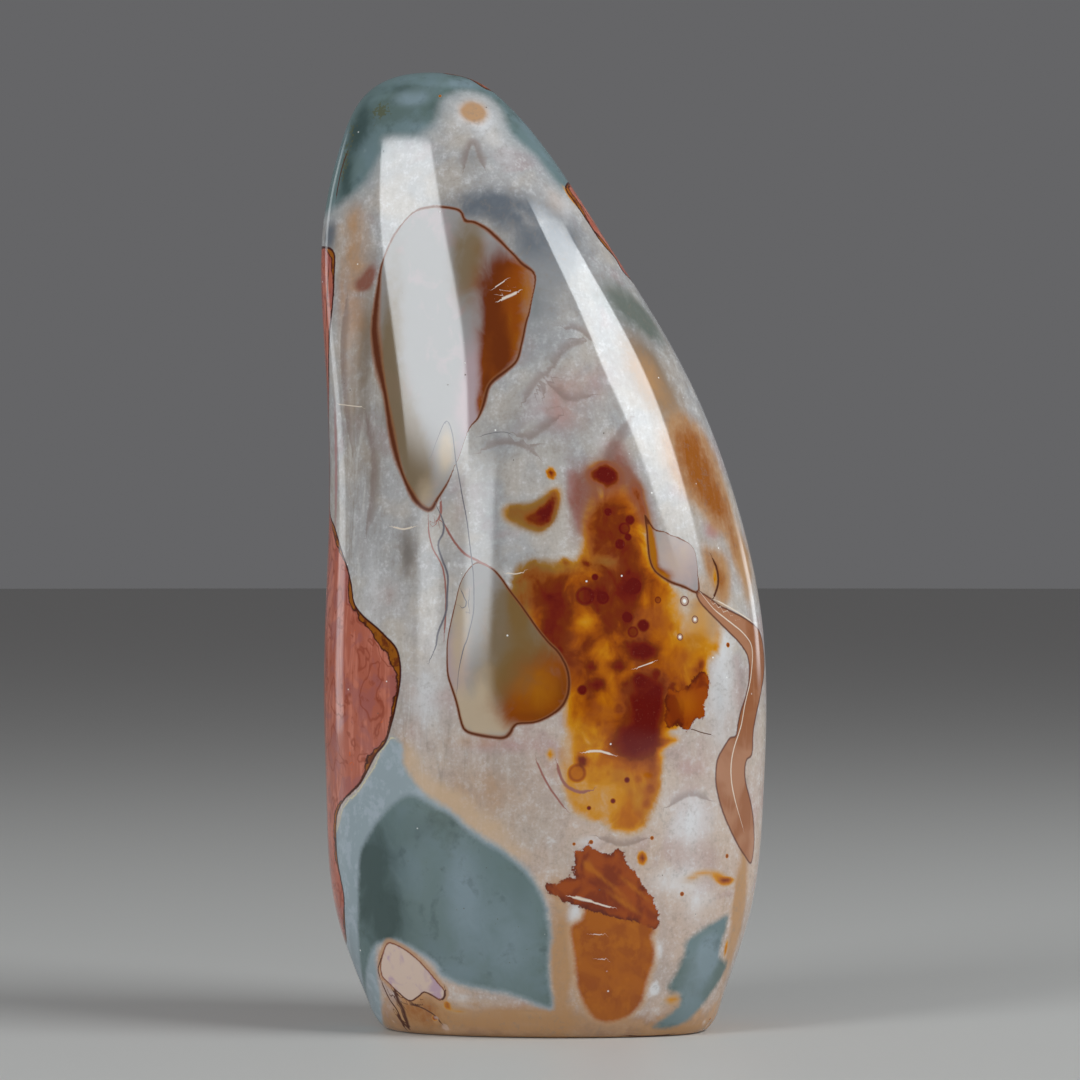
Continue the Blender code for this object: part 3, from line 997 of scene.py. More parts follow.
            (726, 948, 3, 9, 0.45), (565, 563, 5, 4, 0.4), (585, 563, 4, 4, 0.45),
            (550, 754, 4, 5, 0.35), (672, 1000, 10, 5, 0.3), (571, 197, 4, 10, 0.5, -0.4),
        ],
        "round": [
            (127, 50, 3, 5, 0.6), (138, 60, 4, 4, 0.8), (145, 66, 3, 3, 0.4), (104, 74, 5, 4, 0.3),
            (112, 78, 3, 3, 0.5), (228, 64, 3, 5, 0.5), (120, 58, 3, 4, 0.2), (148, 70, 4, 3, -0.15),
            (-117, 82, 4, 2.5, 0.9, 0.6), (-124, 76, 2.5, 4, 0.5), (206, 90, 3, 2, 0.6),
            (196, 102, 2.5, 2, 0.8), (170, 74, 2, 2, 0.7), (158, 84, 2, 4, 0.4), (216, 32, 2, 3, 0.4),
            (98, 94, 2.5, 4, 0.5), (110, 8, 3, 3, 0.5),
        ],
    },
    "olive": {
        "front": [
            (530, 585, 16, 24, 0.9), (542, 568, 34, 14, 1.0), (518, 606, 12, 26, 0.9),
            (532, 512, 34, 24, 1.3), (612, 545, 24, 18, 0.8), (600, 508, 14, 14, 0.6),
            (610, 565, 24, 10, 0.5), (560, 640, 10, 20, 0.4), (538, 656, 26, 22, 0.7),
            (506, 688, 18, 26, 0.7), (476, 260, 12, 30, 0.4), (524, 684, 24, 46, 0.6),
            (680, 440, 12, 20, 0.4),
        ],
        "round": [(124, 44, 4, 6, 0.8), (150, 64, 4, 4, 0.7), (224, 56, 3, 4, 0.6)],
    },
}

# round orbs: x, y and radius in pixels in front, degrees, height and radius in mm elsewhere
orbs = {
    "ring": {
        "front": [
            (634, 586, 7.5), (585, 596, 9), (633, 632, 5.5), (577, 773, 9), (624.5, 528.5, 6),
            (603, 598, 6), (658, 600, 3.5),
        ],
        "round": [(128, 63, 1.2), (134, 66, 0.9), (121, 55, 1.0), (227, 62, 0.9)],
    },
    "dot": {
        "front": [
            (643.5, 625.5, 5), (627, 617, 4), (630, 520, 4), (620, 544, 4), (628, 537, 3),
            (595, 577, 2.6), (627, 780, 2.4), (613, 801, 2.2), (589, 808, 1.8), (728, 645, 2.2),
            (652, 838, 1.8), (465, 325, 2), (435, 1018, 3), (582, 690, 4), (608, 512, 3), (440, 96, 1.3),
            (591, 842, 2), (574, 844, 1.5), (682, 894, 2), (727, 856, 2), (710, 1019, 1.5),
        ],
        "round": [
            (136, 44, 0.6), (124, 46, 0.7), (146, 68, 0.9), (150, 57, 0.5), (214, 76, 0.6),
            (104, 64, 0.5), (206, 32, 0.5), (178, 84, 0.5), (110, 76, 0.7), (231, 60, 0.6),
        ],
    },
    "pearl": {
        "front": [(684.5, 601, 5.2), (695, 619.5, 4), (680, 637, 3.6)],
        "round": [(138, 69, 0.9), (143, 66, 0.7)],
    },
}


def drawMarkings(surface):
    brick, lens = surface.areas(bricks["outer"]), surface.areas(lenses["outer"])
    lineHalf = lenses["lineHalf"] + surface.stainsFrom(lenses["lineMore"])
    drawn = {
        "tealCap": surface.area(tealCap),
        "windowRim": surface.areas(windows["outer"]),
        "windowDeep": np.maximum(surface.areas(windows["inner"]), surface.areas(windows["plain"])),
        "brick": brick,
        "brickRed": brick - surface.stainsFrom(bricks["bandWidth"]),
        "lens": lens,
        "lensLine": lens / np.maximum(lineHalf, lenses["lineLeast"]),
        "amber": surface.areas(ambers),
        "leaf": surface.areas(leaves),
        "jar": surface.areas(jarPatches),
        "pinkChip": surface.areas(pinkChips),
        "vein": np.maximum(surface.areas(veins["outlines"]), surface.bands(veins["ribbons"])),
    }
    print("outlines drawn")
    for name, lines in threads.items():
        drawn[name + "Across"], drawn[name + "Near"] = surface.threads(lines)
    for name, spots in stains.items():
        drawn[name + "Stain"] = surface.stainsFrom(spots)
    for name, values in drawn.items():
        surface.keep(name, values)
    print("threads and stains drawn")


# Node building


class Number:
    # a node value that takes Python's operators; each one adds a Math node
    def __init__(self, bench, socket):
        self.bench = bench
        self.socket = socket

    def __add__(self, other):
        return self.bench.maths("ADD", self, other)

    def __radd__(self, other):
        return self.bench.maths("ADD", other, self)

    def __sub__(self, other):
        return self.bench.maths("SUBTRACT", self, other)

    def __rsub__(self, other):
        return self.bench.maths("SUBTRACT", other, self)

    def __mul__(self, other):
        return self.bench.maths("MULTIPLY", self, other)

    def __rmul__(self, other):
        return self.bench.maths("MULTIPLY", other, self)

    def __abs__(self):
        return self.bench.maths("ABSOLUTE", self)


class Bench:
    # where one node tree is put together
    def __init__(self, tree):
        self.tree = tree

    def node(self, kind, settings=None, inputs=None):
        node = self.tree.nodes.new(kind)
        for name, setting in (settings or {}).items():
            if name == "stops":
                while len(node.color_ramp.elements) < len(setting):
                    node.color_ramp.elements.new(1.0)
                for element, (place, colour) in zip(node.color_ramp.elements, setting):
                    element.position = place
                    element.color = colour
            else:
                setattr(node, name, setting)
        for socket, value in (inputs or {}).items():
            self.feed(node.inputs[socket], value)
        return node

    def feed(self, socket, value):
        if isinstance(value, Number):
            value = value.socket
        if isinstance(value, bpy.types.NodeSocket):
            self.tree.links.new(value, socket)
        else:
            socket.default_value = value

    def maths(self, operation, *values):
        node = self.node("ShaderNodeMath", {"operation": operation}, dict(enumerate(values)))
        return Number(self, node.outputs[0])

    def higher(self, one, other):
        return self.maths("MAXIMUM", one, other)

    def lower(self, one, other):
        return self.maths("MINIMUM", one, other)

    def vector(self, operation, inputs):
        return self.node("ShaderNodeVectorMath", {"operation": operation}, inputs).outputs

    def attribute(self, name):
        return Number(self, self.node("ShaderNodeAttribute", {"attribute_name": name}).outputs["Fac"])

    def ease(self, value, start, end, reach=1.0):
        # 0 before start, rising smoothly to reach at end; start may be the larger
        settings = {"interpolation_type": "SMOOTHSTEP"}
        if start > end:
            inputs = {"Value": value, 1: end, 2: start, 3: reach, 4: 0.0}
        else:
            inputs = {"Value": value, 1: start, 2: end, 3: 0.0, 4: reach}
        return Number(self, self.node("ShaderNodeMapRange", settings, inputs).outputs[0])

    def stripe(self, value, half, soft):
        # 1 where the value is within half of 0, fading out over soft
        return self.ease(abs(value), half + soft, max(half - soft, 0.0))

    def outline(self, value, middle, half, soft):
        return self.stripe(value - middle, half, soft)

    def noise(self, place, size, detail=3.0, rough=0.5, bend=0.0):
        inputs = {"Vector": place, "Scale": 1 / size, "Detail": detail, "Roughness": rough}
        inputs["Distortion"] = bend
        return Number(self, self.node("ShaderNodeTexNoise", {}, inputs).outputs["Fac"])

    def scaled(self, place, scale):
        return self.node("ShaderNodeMapping", {}, {"Vector": place, "Scale": scale}).outputs[0]

    def cells(self, place, perMm):
        # distance to the nearest of many scattered points
        inputs = {"Vector": place, "Scale": perMm, "Detail": 0.0}
        return Number(self, self.node("ShaderNodeTexVoronoi", {}, inputs).outputs["Distance"])

    def mix(self, under, over, share):
        node = self.node("ShaderNodeMix", {"data_type": "RGBA"}, {0: share, 6: under, 7: over})
        return node.outputs[2]

    def layered(self, colour, layers):
        # colours laid one over the other, each with the share of it that shows
        for over, share in layers:
            colour = self.mix(colour, over, share)
        return colour


def newFinish(name):
    material = bpy.data.materials.new(name)
    material.use_nodes = True
    return material, Bench(material.node_tree)


def paint(red, green, blue):
    # an sRGB colour in 0 to 255 as the linear colour that a socket takes
    def linear(part):
        part /= 255
        return part / 12.92 if part <= 0.04045 else ((part + 0.055) / 1.055) ** 2.4

    return (linear(red), linear(green), linear(blue), 1.0)


# Small losses in the polish

chips = {
    # x and y in the photo or degrees and height in mm, then radius and depth in mm
    "front": [
        (436, 1018, 0.6, 0.3), (445, 1028, 0.9, 0.4), (708, 1026, 1.0, 0.4), (393, 1022, 0.6, 0.2),
    ],
    "round": [(150, 1.0, 1.8, 0.5), (232, 1.5, 1.4, 0.4), (190, 0.6, 1.2, 0.4)],
}
pits = {"Pits per square metre": 1500.0, "Pit radius": 0.0011, "Pit depth": 0.00011, "Seed": 7}


def chipRim(surface):
    inwards = np.zeros(len(surface.points))
    for place, (radius, depth) in surface.spots(chips, 0):
        share = np.linalg.norm(surface.points - place, axis=1) / (radius * mm)
        inwards = np.maximum(inwards, depth * mm * np.clip(1 - share**2, 0.0, 1.0) ** 1.5)
    surface.keep("chip", inwards / mm)
    moved = surface.points - surface.normals * inwards[:, None]
    surface.mesh.vertices.foreach_set("co", moved.astype(np.float32).ravel())
    surface.mesh.update()


def pitTree(finish):
    # presses shallow round pits into the surface at scattered points
    tree = bpy.data.node_groups.new("polishPits", "GeometryNodeTree")
    tree.interface.new_socket("Geometry", in_out="INPUT", socket_type="NodeSocketGeometry")
    for name in pits:
        kind = "NodeSocketInt" if name == "Seed" else "NodeSocketFloat"
        tree.interface.new_socket(name, in_out="INPUT", socket_type=kind)
    tree.interface.new_socket("Geometry", in_out="OUTPUT", socket_type="NodeSocketGeometry")
    bench = Bench(tree)
    given = tree.nodes.new("NodeGroupInput").outputs
    stone = given["Geometry"]
    scattered = bench.node(
        "GeometryNodeDistributePointsOnFaces",
        {"distribute_method": "RANDOM"},
        {"Mesh": stone, "Density": given["Pits per square metre"], "Seed": given["Seed"]},
    )
    here = bench.node("GeometryNodeInputPosition").outputs[0]
    nearest = bench.node(
        "GeometryNodeProximity",
        {"target_element": "POINTS"},
        {"Geometry": scattered.outputs["Points"], "Sample Position": here},
    )
    depth = bench.node(
        "ShaderNodeMapRange",
        {"interpolation_type": "SMOOTHSTEP"},
        {
            "Value": nearest.outputs["Distance"],
            "From Min": 0.0,
            "From Max": given["Pit radius"],
            "To Min": given["Pit depth"],
            "To Max": 0.0,
        },
    ).outputs[0]
    normal = bench.node("GeometryNodeInputNormal").outputs[0]
    inwards = bench.vector("SCALE", {0: normal, "Scale": bench.maths("MULTIPLY", depth, -1.0)})[0]
    pressed = bench.node("GeometryNodeSetPosition", {}, {"Geometry": stone, "Offset": inwards})
    joined = bench.node("GeometryNodeRealizeInstances", {}, {"Geometry": pressed.outputs[0]})
    inputs = {"Geometry": joined.outputs[0], "Material": finish}
    dressed = bench.node("GeometryNodeSetMaterial", {}, inputs)
    bench.node("NodeGroupOutput", {}, {"Geometry": dressed.outputs[0]})
    return tree


def pressPits(piece, finish):
    # runs the pit tree on the stone and keeps the result as its plain mesh
    tree = pitTree(finish)
    modifier = piece.modifiers.new("polishPits", "NODES")
    modifier.node_group = tree
    for socket in tree.interface.items_tree:
        if socket.item_type == "SOCKET" and socket.name in pits:
            modifier[socket.identifier] = pits[socket.name]
    depsgraph = bpy.context.evaluated_depsgraph_get()
    finished = bpy.data.meshes.new_from_object(
        piece.evaluated_get(depsgraph), preserve_all_data_layers=True, depsgraph=depsgraph
    )
    piece.modifiers.clear()
    piece.data = finished
    finished.name = "jasperStone"
    finished.materials.clear()
    finished.materials.append(finish)


# Colours and finish of the stone

ground = {
    "grey": paint(186, 183, 182),
    "cream": paint(204, 192, 180),
    "blush": paint(204, 170, 148),
    "streakDark": paint(142, 130, 120),
    "streakPale": paint(222, 219, 214),
    "shade": paint(138, 139, 141),
    "dusk": paint(128, 111, 94),
    "blueGrey": paint(94, 101, 110),
    "moss": paint(100, 108, 100),
    "pink": paint(180, 136, 134),
    "white": paint(226, 225, 226),
    "tan": paint(188, 142, 96),
    "rust": paint(158, 86, 8),
    "mauve": paint(138, 82, 66),
    "veil": paint(128, 104, 96),
    "earth": paint(162, 116, 76),
}
teal = {
    "main": paint(106, 126, 126),
    "green": paint(86, 102, 94),
    "blue": paint(118, 138, 146),
    "deep": paint(58, 76, 74),
    "pale": paint(140, 158, 168),
    "rim": paint(152, 166, 172),
    "rimPale": paint(176, 186, 196),
    "halo": paint(150, 162, 168),
    "yellowLine": paint(214, 204, 168),
    "warmEdge": paint(212, 178, 142),
    "speckle": paint(92, 94, 66),
}
lensColours = {
    "fill": paint(157, 153, 152),
    "khaki": paint(124, 101, 66),
    "lilac": paint(188, 162, 166),
    "pale": paint(198, 176, 148),
    "amber": paint(144, 68, 2),
    "amberDeep": paint(108, 44, 4),
    "amberBright": paint(172, 104, 8),
    "line": paint(96, 44, 20),
    "lineSoft": paint(150, 92, 52),
}
# from the fringe of an iron stain to its heart
ironDepth = [
    (0.0, paint(214, 190, 160)),
    (0.14, paint(208, 168, 112)),
    (0.28, paint(210, 140, 14)),
    (0.42, paint(188, 104, 2)),
    (0.55, paint(162, 78, 2)),
    (0.7, paint(124, 48, 2)),
    (0.85, paint(116, 28, 6)),
    (1.0, paint(102, 12, 4)),
]
ironClots = {"spacing": 2.8, "edge": (0.36, 0.1, 0.2)}  # spacing in mm
flakeColours = {
    "olive": paint(128, 96, 48),
    "mist": paint(134, 62, 44),
    "leaf": paint(160, 70, 0),
    "leafMiddle": paint(130, 46, 0),
    "leafDark": paint(90, 26, 2),
    "jar": paint(174, 92, 0),
    "jarDeep": paint(158, 77, 0),
    "jarBright": paint(190, 108, 4),
    "halo": paint(204, 160, 118),
}
veinColours = {
    "main": paint(158, 98, 62),
    "warm": paint(178, 124, 92),
    "line": paint(98, 50, 36),
}
brickColours = {
    "main": paint(184, 100, 78),
    "lilac": paint(162, 96, 94),
    "salmon": paint(208, 126, 104),
    "rust": paint(150, 66, 44),
    "fleck": paint(220, 96, 30),
    "line": paint(70, 24, 12),
    "amber": paint(156, 88, 12),
    "amberDeep": paint(112, 48, 8),
}
smallColours = {
    "chip": paint(220, 194, 178),
    "chipLilac": paint(194, 162, 176),
    "chipLine": paint(132, 66, 40),
    "chipHalo": paint(198, 146, 98),
    "greyThread": paint(112, 108, 114),
    "mauveThread": paint(158, 102, 92),
    "brownThread": paint(84, 42, 26),
    "paleThread": paint(232, 216, 198),
    "pearl": paint(196, 168, 152),
    "pearlLine": paint(112, 52, 40),
    "pearlHeart": paint(244, 242, 240),
    # painted glint of a tiny pit
    "fleck": paint(244, 242, 238),
    "speck": paint(84, 70, 60),
}
# where each marking begins and is whole, in mm from its outline (+ inside it), and the most that shows
edges = {
    "foot": (6.5, 2.0, 0.8),  # in mm above the floor, as the two below
    "blush": (72.0, 30.0, 0.6),
    "shade": (50.0, 100.0, 0.3),
    "capHalo": (-3.6, 0.2, 0.5),
    "cap": (-1.2, 1.2),
    "windowRim": (-0.7, 0.7),
    "windowDeep": (-0.6, 0.7),
    "lens": (-0.06, 0.06),
    "ironFringe": (-1.4, 2.0, 0.42),
    "jarHalo": (-1.3, 0.0, 0.7),
    "jar": (-0.5, 0.5),
    "leaf": (-0.12, 0.12),
    "vein": (-0.05, 0.08),
    "brick": (-0.05, 0.08),
    "brickRed": (-0.1, 0.12),
    "chipHalo": (-1.0, -0.3, 0.75),
    "chip": (-0.05, 0.1),
    "worn": (0.05, 0.25),
}
# half width and softness of drawn lines, in mm or, for a lens and a thread, in half widths of the line
strokes = {
    "yellow": (0.06, 0.12),
    "lensSoft": (1.5, 0.8),
    "lens": (0.75, 0.5),
    "vein": (0.15, 0.12),
    "brickRed": (0.14, 0.16),
    "brick": (0.17, 0.1),
    "chip": (0.1, 0.12),
    "thread": (0.8, 0.5),
}
# orbs, in shares of their radius: where the fill begins and is whole and the most of it that shows,
# and the middle, half width and softness of the line round it
orbEdges = {
    "dot": (1.5, 0.5, 0.65),
    "ring": (1.1, 0.7, 0.14),
    "ringLine": (0.85, 0.1, 0.2),
    "pearl": (1.0, 0.85, 0.6),
    "pearlLine": (0.85, 0.08, 0.14),
    "pearlHeart": (0.5, 0.25),
}
polish = {
    "roughness": 0.055,
    "ior": 1.54,
    "waveSize": 14.0,  # mm
    "waveHeight": 0.0025,  # mm, as the two below
    "grainHeight": 0.0006,
    "dullDepth": 0.02,
    "dullRoughness": 0.3,  # more than the polish, where it is chipped or flecked
    "flecksPerMm": 0.3,
}
# the noises that every marking shares: size in mm, detail, roughness, bend and stretch
sharedNoises = {
    "broad": (19.0, 2.0, 0.5, 0.5, None),
    "cloud": (8.0, 3.0, 0.5, 0.4, None),
    "patch": (3.6, 3.0, 0.55, 0.6, (1.0, 1.0, 0.8)),
    "mottle": (1.5, 3.0, 0.6, 0.0, None),
    "grain": (0.45, 2.0, 0.6, 0.0, None),
    "streak": (1.0, 3.0, 0.55, 0.5, (0.8, 0.8, 0.1)),
}


class Fields:
    # what every marking is broken up by, in mm
    def __init__(self, bench):
        coordinates = bench.node("ShaderNodeTexCoord").outputs["Object"]
        self.place = bench.vector("SCALE", {0: coordinates, "Scale": 1 / mm})[0]
        for name, (size, detail, rough, bend, stretch) in sharedNoises.items():
            place = bench.scaled(self.place, stretch) if stretch else self.place
            setattr(self, name, bench.noise(place, size, detail, rough, bend))
        self.warp = (self.mottle - 0.5) * 0.7 + (self.grain - 0.5) * 0.35
        self.uneven = self.patch * 1.3 + 0.35


def orbField(bench, place, surface, kind):
    # distance to the nearest orb of a kind, in shares of its radius
    found = None
    for centre, (radius,) in surface.spots(orbs[kind], 1):
        away = Number(bench, bench.vector("DISTANCE", {0: place, 1: tuple(centre / mm)})["Value"])
        away = away * (1 / radius)
        found = away if found is None else bench.lower(found, away)
    return found


def stained(bench, f, name, start=0.05, end=0.95, reach=0.92):
    # how strongly a soft stain shows, its edge broken up by the shared noises
    share = bench.attribute(name + "Stain") * f.uneven + (f.mottle - 0.5) * 0.12
    return bench.ease(share, start, end, reach)


def paintGround(bench, f):
    height = Number(bench, bench.node("ShaderNodeSeparateXYZ", {}, {0: f.place}).outputs["Z"])
    rise = height + (f.cloud - 0.5) * 60.0
    grit = f.mottle + f.grain * 0.7
    fibre = bench.attribute("fibreStain") * 0.75 + 0.25
    foot = bench.mix(ground["tan"], ground["earth"], bench.ease(f.patch, 0.4, 0.6))
    rusty = bench.attribute("rustStain") * (f.patch * 0.6 + f.streak * 0.9 + 0.25)
    fold = bench.attribute("veilAcross") + f.warp * 0.8
    veil = bench.ease(fold, -0.6, 0.2) * bench.ease(fold, 2.8, 0.3, 0.5)
    contours = bench.stripe(bench.maths("FRACT", f.cloud * 9.0) - 0.5, 0.02, 0.14)
    layers = [
        (ground["cream"], bench.ease(f.cloud, 0.4, 0.64)),
        (ground["blush"], bench.ease(rise, *edges["blush"])),
        (ground["shade"], bench.ease(rise, *edges["shade"])),
        (ground["shade"], bench.ease(f.broad, 0.5, 0.7, 0.25)),
        (ground["pink"], bench.ease(f.broad + f.cloud, 0.92, 0.78, 0.25)),
        (ground["white"], bench.ease(grit, 0.88, 0.5, 0.55)),
        (ground["streakDark"], bench.ease(f.streak, 0.5, 0.74, 0.6) * fibre),
        (ground["streakPale"], bench.ease(f.streak, 0.46, 0.28, 0.6) * fibre),
        (foot, bench.ease(height + (f.patch - 0.5) * 12.0, *edges["foot"])),
    ]
    for name in ("white", "shade", "dusk", "blueGrey", "moss", "pink", "tan", "mauve"):
        layers.append((ground[name], stained(bench, f, name)))
    layers += [
        (ground["tan"], bench.ease(rusty, 0.05, 0.6, 0.85)),
        (ground["rust"], bench.ease(rusty + (f.mottle - 0.5) * 0.9, 0.25, 1.35, 0.95)),
        (ground["veil"], veil * bench.ease(bench.attribute("veilNear"), 2.3, 0.9)),
        (ground["streakDark"], contours * bench.ease(f.broad, 0.44, 0.56, 0.09)),
        (ground["streakDark"], bench.ease(grit, 0.87, 1.15, 0.32)),
    ]
    return bench.layered(ground["grey"], layers)


def paintTeal(bench, f, colour):
    specks = f.grain + bench.attribute("speckleStain") * 0.3
    layers = [
        (teal["blue"], bench.ease(f.cloud, 0.42, 0.66, 0.5)),
        (teal["green"], bench.ease(f.broad + f.mottle * 0.3, 0.66, 0.82, 0.6)),
        # paler teal, in part painted light on the top of the cap and on the lower right patch
        (teal["pale"], stained(bench, f, "tealPale", 0.05, 0.9, 0.7)),
        (teal["deep"], stained(bench, f, "tealDeep", 0.05, 1.0, 0.85)),
        (teal["deep"], bench.ease(f.mottle * 0.5 + f.patch, 0.8, 1.05, 0.4)),
        (teal["speckle"], bench.ease(specks, 0.7, 0.8, 0.75)),
    ]
    body = bench.layered(teal["main"], layers)
    cap = bench.attribute("tealCap") + f.warp * 0.9
    warm = bench.attribute("haloStain") + (f.patch - 0.5) * 0.6
    rim = bench.attribute("windowRim") + f.warp * 1.2
    edge = bench.mix(teal["rim"], teal["rimPale"], bench.ease(f.mottle + f.patch, 0.94, 1.2, 0.6))
    nearBrick = bench.ease(bench.attribute("brick"), -1.8, -0.9)
    deep = bench.attribute("windowDeep") + f.warp * 1.1
    layers = [
        (teal["halo"], bench.ease(cap, *edges["capHalo"])),
        (body, bench.ease(cap, *edges["cap"])),
        (teal["warmEdge"], bench.ease(warm, 0.1, 0.9, 0.8)),
        (edge, bench.ease(rim, *edges["windowRim"])),
        (teal["yellowLine"], bench.stripe(rim - 0.05, *strokes["yellow"]) * nearBrick),
        (body, bench.ease(deep, *edges["windowDeep"])),
    ]
    return bench.layered(colour, layers)


def paintLens(bench, f, colour):
    layers = [
        (lensColours["amberDeep"], stained(bench, f, "lensDark", 0.05, 1.0)),
        (lensColours["amberBright"], stained(bench, f, "glow", 0.1, 1.1)),
    ]
    brown = bench.layered(lensColours["amber"], layers)
    layers = [
        (lensColours["lilac"], bench.ease(f.patch, 0.5, 0.7, 0.4)),
        (lensColours["khaki"], stained(bench, f, "khaki", 0.05, 1.0, 0.85)),
        (lensColours["lilac"], stained(bench, f, "lilac", 0.05, 0.9, 0.8)),
        # the pale fill, which at the left of the second lens is painted reflection
        (lensColours["pale"], stained(bench, f, "lensPale", 0.05, 0.9)),
        (flakeColours["olive"], stained(bench, f, "olive", 0.1, 0.9, 0.85)),
        (brown, stained(bench, f, "lensAmber", 0.1, 1.15, 1.0)),
    ]
    body = bench.layered(lensColours["fill"], layers)
    lens = bench.attribute("lens") + f.warp * 0.1
    line = bench.attribute("lensLine") + f.warp * 0.5
    layers = [
        (body, bench.ease(lens, *edges["lens"])),
        (lensColours["lineSoft"], bench.stripe(line, *strokes["lensSoft"]) * 0.8),
        (lensColours["line"], bench.stripe(line, *strokes["lens"])),
    ]
    return bench.layered(colour, layers)


def paintIron(bench, f, surface, colour):
    # one depth, from a pale fringe through amber and brown to maroon
    edge = bench.attribute("amber") + (f.patch - 0.5) * 2.0 + f.warp * 0.7
    depth = bench.ease(edge, *edges["ironFringe"]) + bench.attribute("ironStain")
    cell = bench.cells(f.place, 1 / ironClots["spacing"]) + f.warp * 0.4
    clots = bench.ease(cell, *ironClots["edge"])
    clots = clots * bench.ease(f.cloud, 0.48, 0.58)
    lively = (f.patch - 0.5) * 0.75 + (f.cloud - 0.5) * 0.3 + (f.mottle - 0.5) * 0.2 + clots - 0.02
    depth = depth + lively * bench.ease(depth, 0.1, 0.6)
    dot = orbField(bench, f.place, surface, "dot") + f.warp * 0.35
    depth = depth + bench.ease(dot, *orbEdges["dot"])
    ring = orbField(bench, f.place, surface, "ring") + f.warp * 0.12
    depth = depth + bench.ease(ring, *orbEdges["ring"])
    depth = depth + bench.outline(ring, *orbEdges["ringLine"]) * 0.16
    ramp = bench.node("ShaderNodeValToRGB", {"stops": ironDepth}, {"Fac": depth})
    shallow = bench.ease(depth, 0.72, 0.4)
    misty = bench.ease(depth, 0.8, 1.1) * bench.ease(f.grain, 0.58, 0.8, 0.6)
    hazy = bench.ease(f.cloud, 0.5, 0.66, 0.25) * bench.ease(depth, 0.85, 0.6)
    layers = [
        (flakeColours["olive"], stained(bench, f, "olive", 0.1, 0.9, 0.75) * shallow),
        (ground["mauve"], stained(bench, f, "mauve", 0.1, 0.9, 0.9) * shallow),
        (flakeColours["mist"], bench.higher(misty, hazy)),
    ]
    body = bench.layered(ramp.outputs["Color"], layers)
    return bench.mix(colour, body, bench.ease(depth, 0.04, 0.32))


def paintFlakes(bench, f, colour):
    jar = bench.attribute("jar") + f.warp
    layers = [
        (flakeColours["jarDeep"], bench.ease(f.patch, 0.42, 0.62)),
        (flakeColours["jarBright"], bench.ease(f.mottle + f.cloud, 1.02, 1.2, 0.4)),
    ]
    jarBody = bench.layered(flakeColours["jar"], layers)
    leaf = bench.attribute("leaf") + (f.mottle - 0.5) * 1.5 + (f.grain - 0.5) * 0.9
    layers = [
        (flakeColours["leaf"], bench.ease(f.patch, 0.4, 0.6)),
        (flakeColours["jarBright"], stained(bench, f, "glow", 0.1, 1.0, 0.7)),
        (flakeColours["leafDark"], bench.ease(leaf + (f.patch - 0.5) * 3.0, 0.6, -0.3, 0.85)),
    ]
    leafBody = bench.layered(flakeColours["leafMiddle"], layers)
    layers = [
        (flakeColours["halo"], bench.ease(jar, *edges["jarHalo"])),
        (jarBody, bench.ease(jar, *edges["jar"])),
        (leafBody, bench.ease(leaf, *edges["leaf"])),
    ]
    return bench.layered(colour, layers)


def paintVein(bench, f, colour):
    vein = bench.attribute("vein") + f.warp * 0.2
    layers = [
        (veinColours["warm"], bench.ease(f.cloud, 0.42, 0.6)),
        (veinColours["warm"], bench.ease(f.streak, 0.48, 0.34, 0.5)),
    ]
    body = bench.layered(veinColours["main"], layers)
    layers = [
        (body, bench.ease(vein, *edges["vein"])),
        (veinColours["line"], bench.stripe(vein, *strokes["vein"]) * 0.9),
    ]
    return bench.layered(colour, layers)


def paintBrick(bench, f, colour):
    brick = bench.attribute("brick") + f.warp * 0.15
    red = bench.attribute("brickRed") + f.warp * 1.1 - bench.ease(f.cloud, 0.46, 0.66, 1.1)
    bedding = bench.stripe(bench.maths("FRACT", f.cloud * 6.0) - 0.5, 0.03, 0.12)
    layers = [
        (brickColours["salmon"], bench.ease(f.streak + f.cloud, 0.94, 1.16, 0.9)),
        (brickColours["lilac"], bench.ease(f.patch, 0.48, 0.64, 0.6)),
        (brickColours["rust"], bedding * bench.ease(f.broad, 0.42, 0.56, 0.7)),
        (brickColours["rust"], bench.ease(f.mottle, 0.56, 0.72, 0.5)),
        (brickColours["fleck"], bench.ease(f.patch + f.grain * 0.5, 0.56, 0.46, 0.9)),
    ]
    body = bench.layered(brickColours["main"], layers)
    band = bench.mix(brickColours["amber"], brickColours["amberDeep"], bench.ease(f.mottle, 0.45, 0.62))
    layers = [
        (band, bench.ease(brick, *edges["brick"])),
        (body, bench.ease(red, *edges["brickRed"])),
        (brickColours["line"], bench.stripe(red, *strokes["brickRed"])),
        (brickColours["line"], bench.stripe(brick, *strokes["brick"])),
    ]
    return bench.layered(colour, layers)


def paintSmallThings(bench, f, surface, colour, worn):
    chip = bench.attribute("pinkChip") + f.warp * 0.4
    body = bench.mix(smallColours["chip"], smallColours["chipLilac"], bench.ease(f.patch, 0.5, 0.65))
    layers = [
        (smallColours["chipHalo"], bench.ease(chip, *edges["chipHalo"])),
        (body, bench.ease(chip, *edges["chip"])),
        (smallColours["chipLine"], bench.stripe(chip, *strokes["chip"])),
    ]
    for kind in ("mauve", "grey", "brown", "pale"):
        across = bench.attribute(kind + "Across") + f.warp * 1.2
        near = bench.ease(bench.attribute(kind + "Near"), 1.0, 0.6)
        layers.append((smallColours[kind + "Thread"], bench.stripe(across, *strokes["thread"]) * near))
    pearl = orbField(bench, f.place, surface, "pearl")
    layers += [
        (smallColours["pearl"], bench.ease(pearl, *orbEdges["pearl"])),
        (smallColours["pearlLine"], bench.outline(pearl, *orbEdges["pearlLine"])),
        (smallColours["pearlHeart"], bench.ease(pearl, *orbEdges["pearlHeart"])),
        (smallColours["chip"], worn * 0.6),
    ]
    return bench.layered(colour, layers)


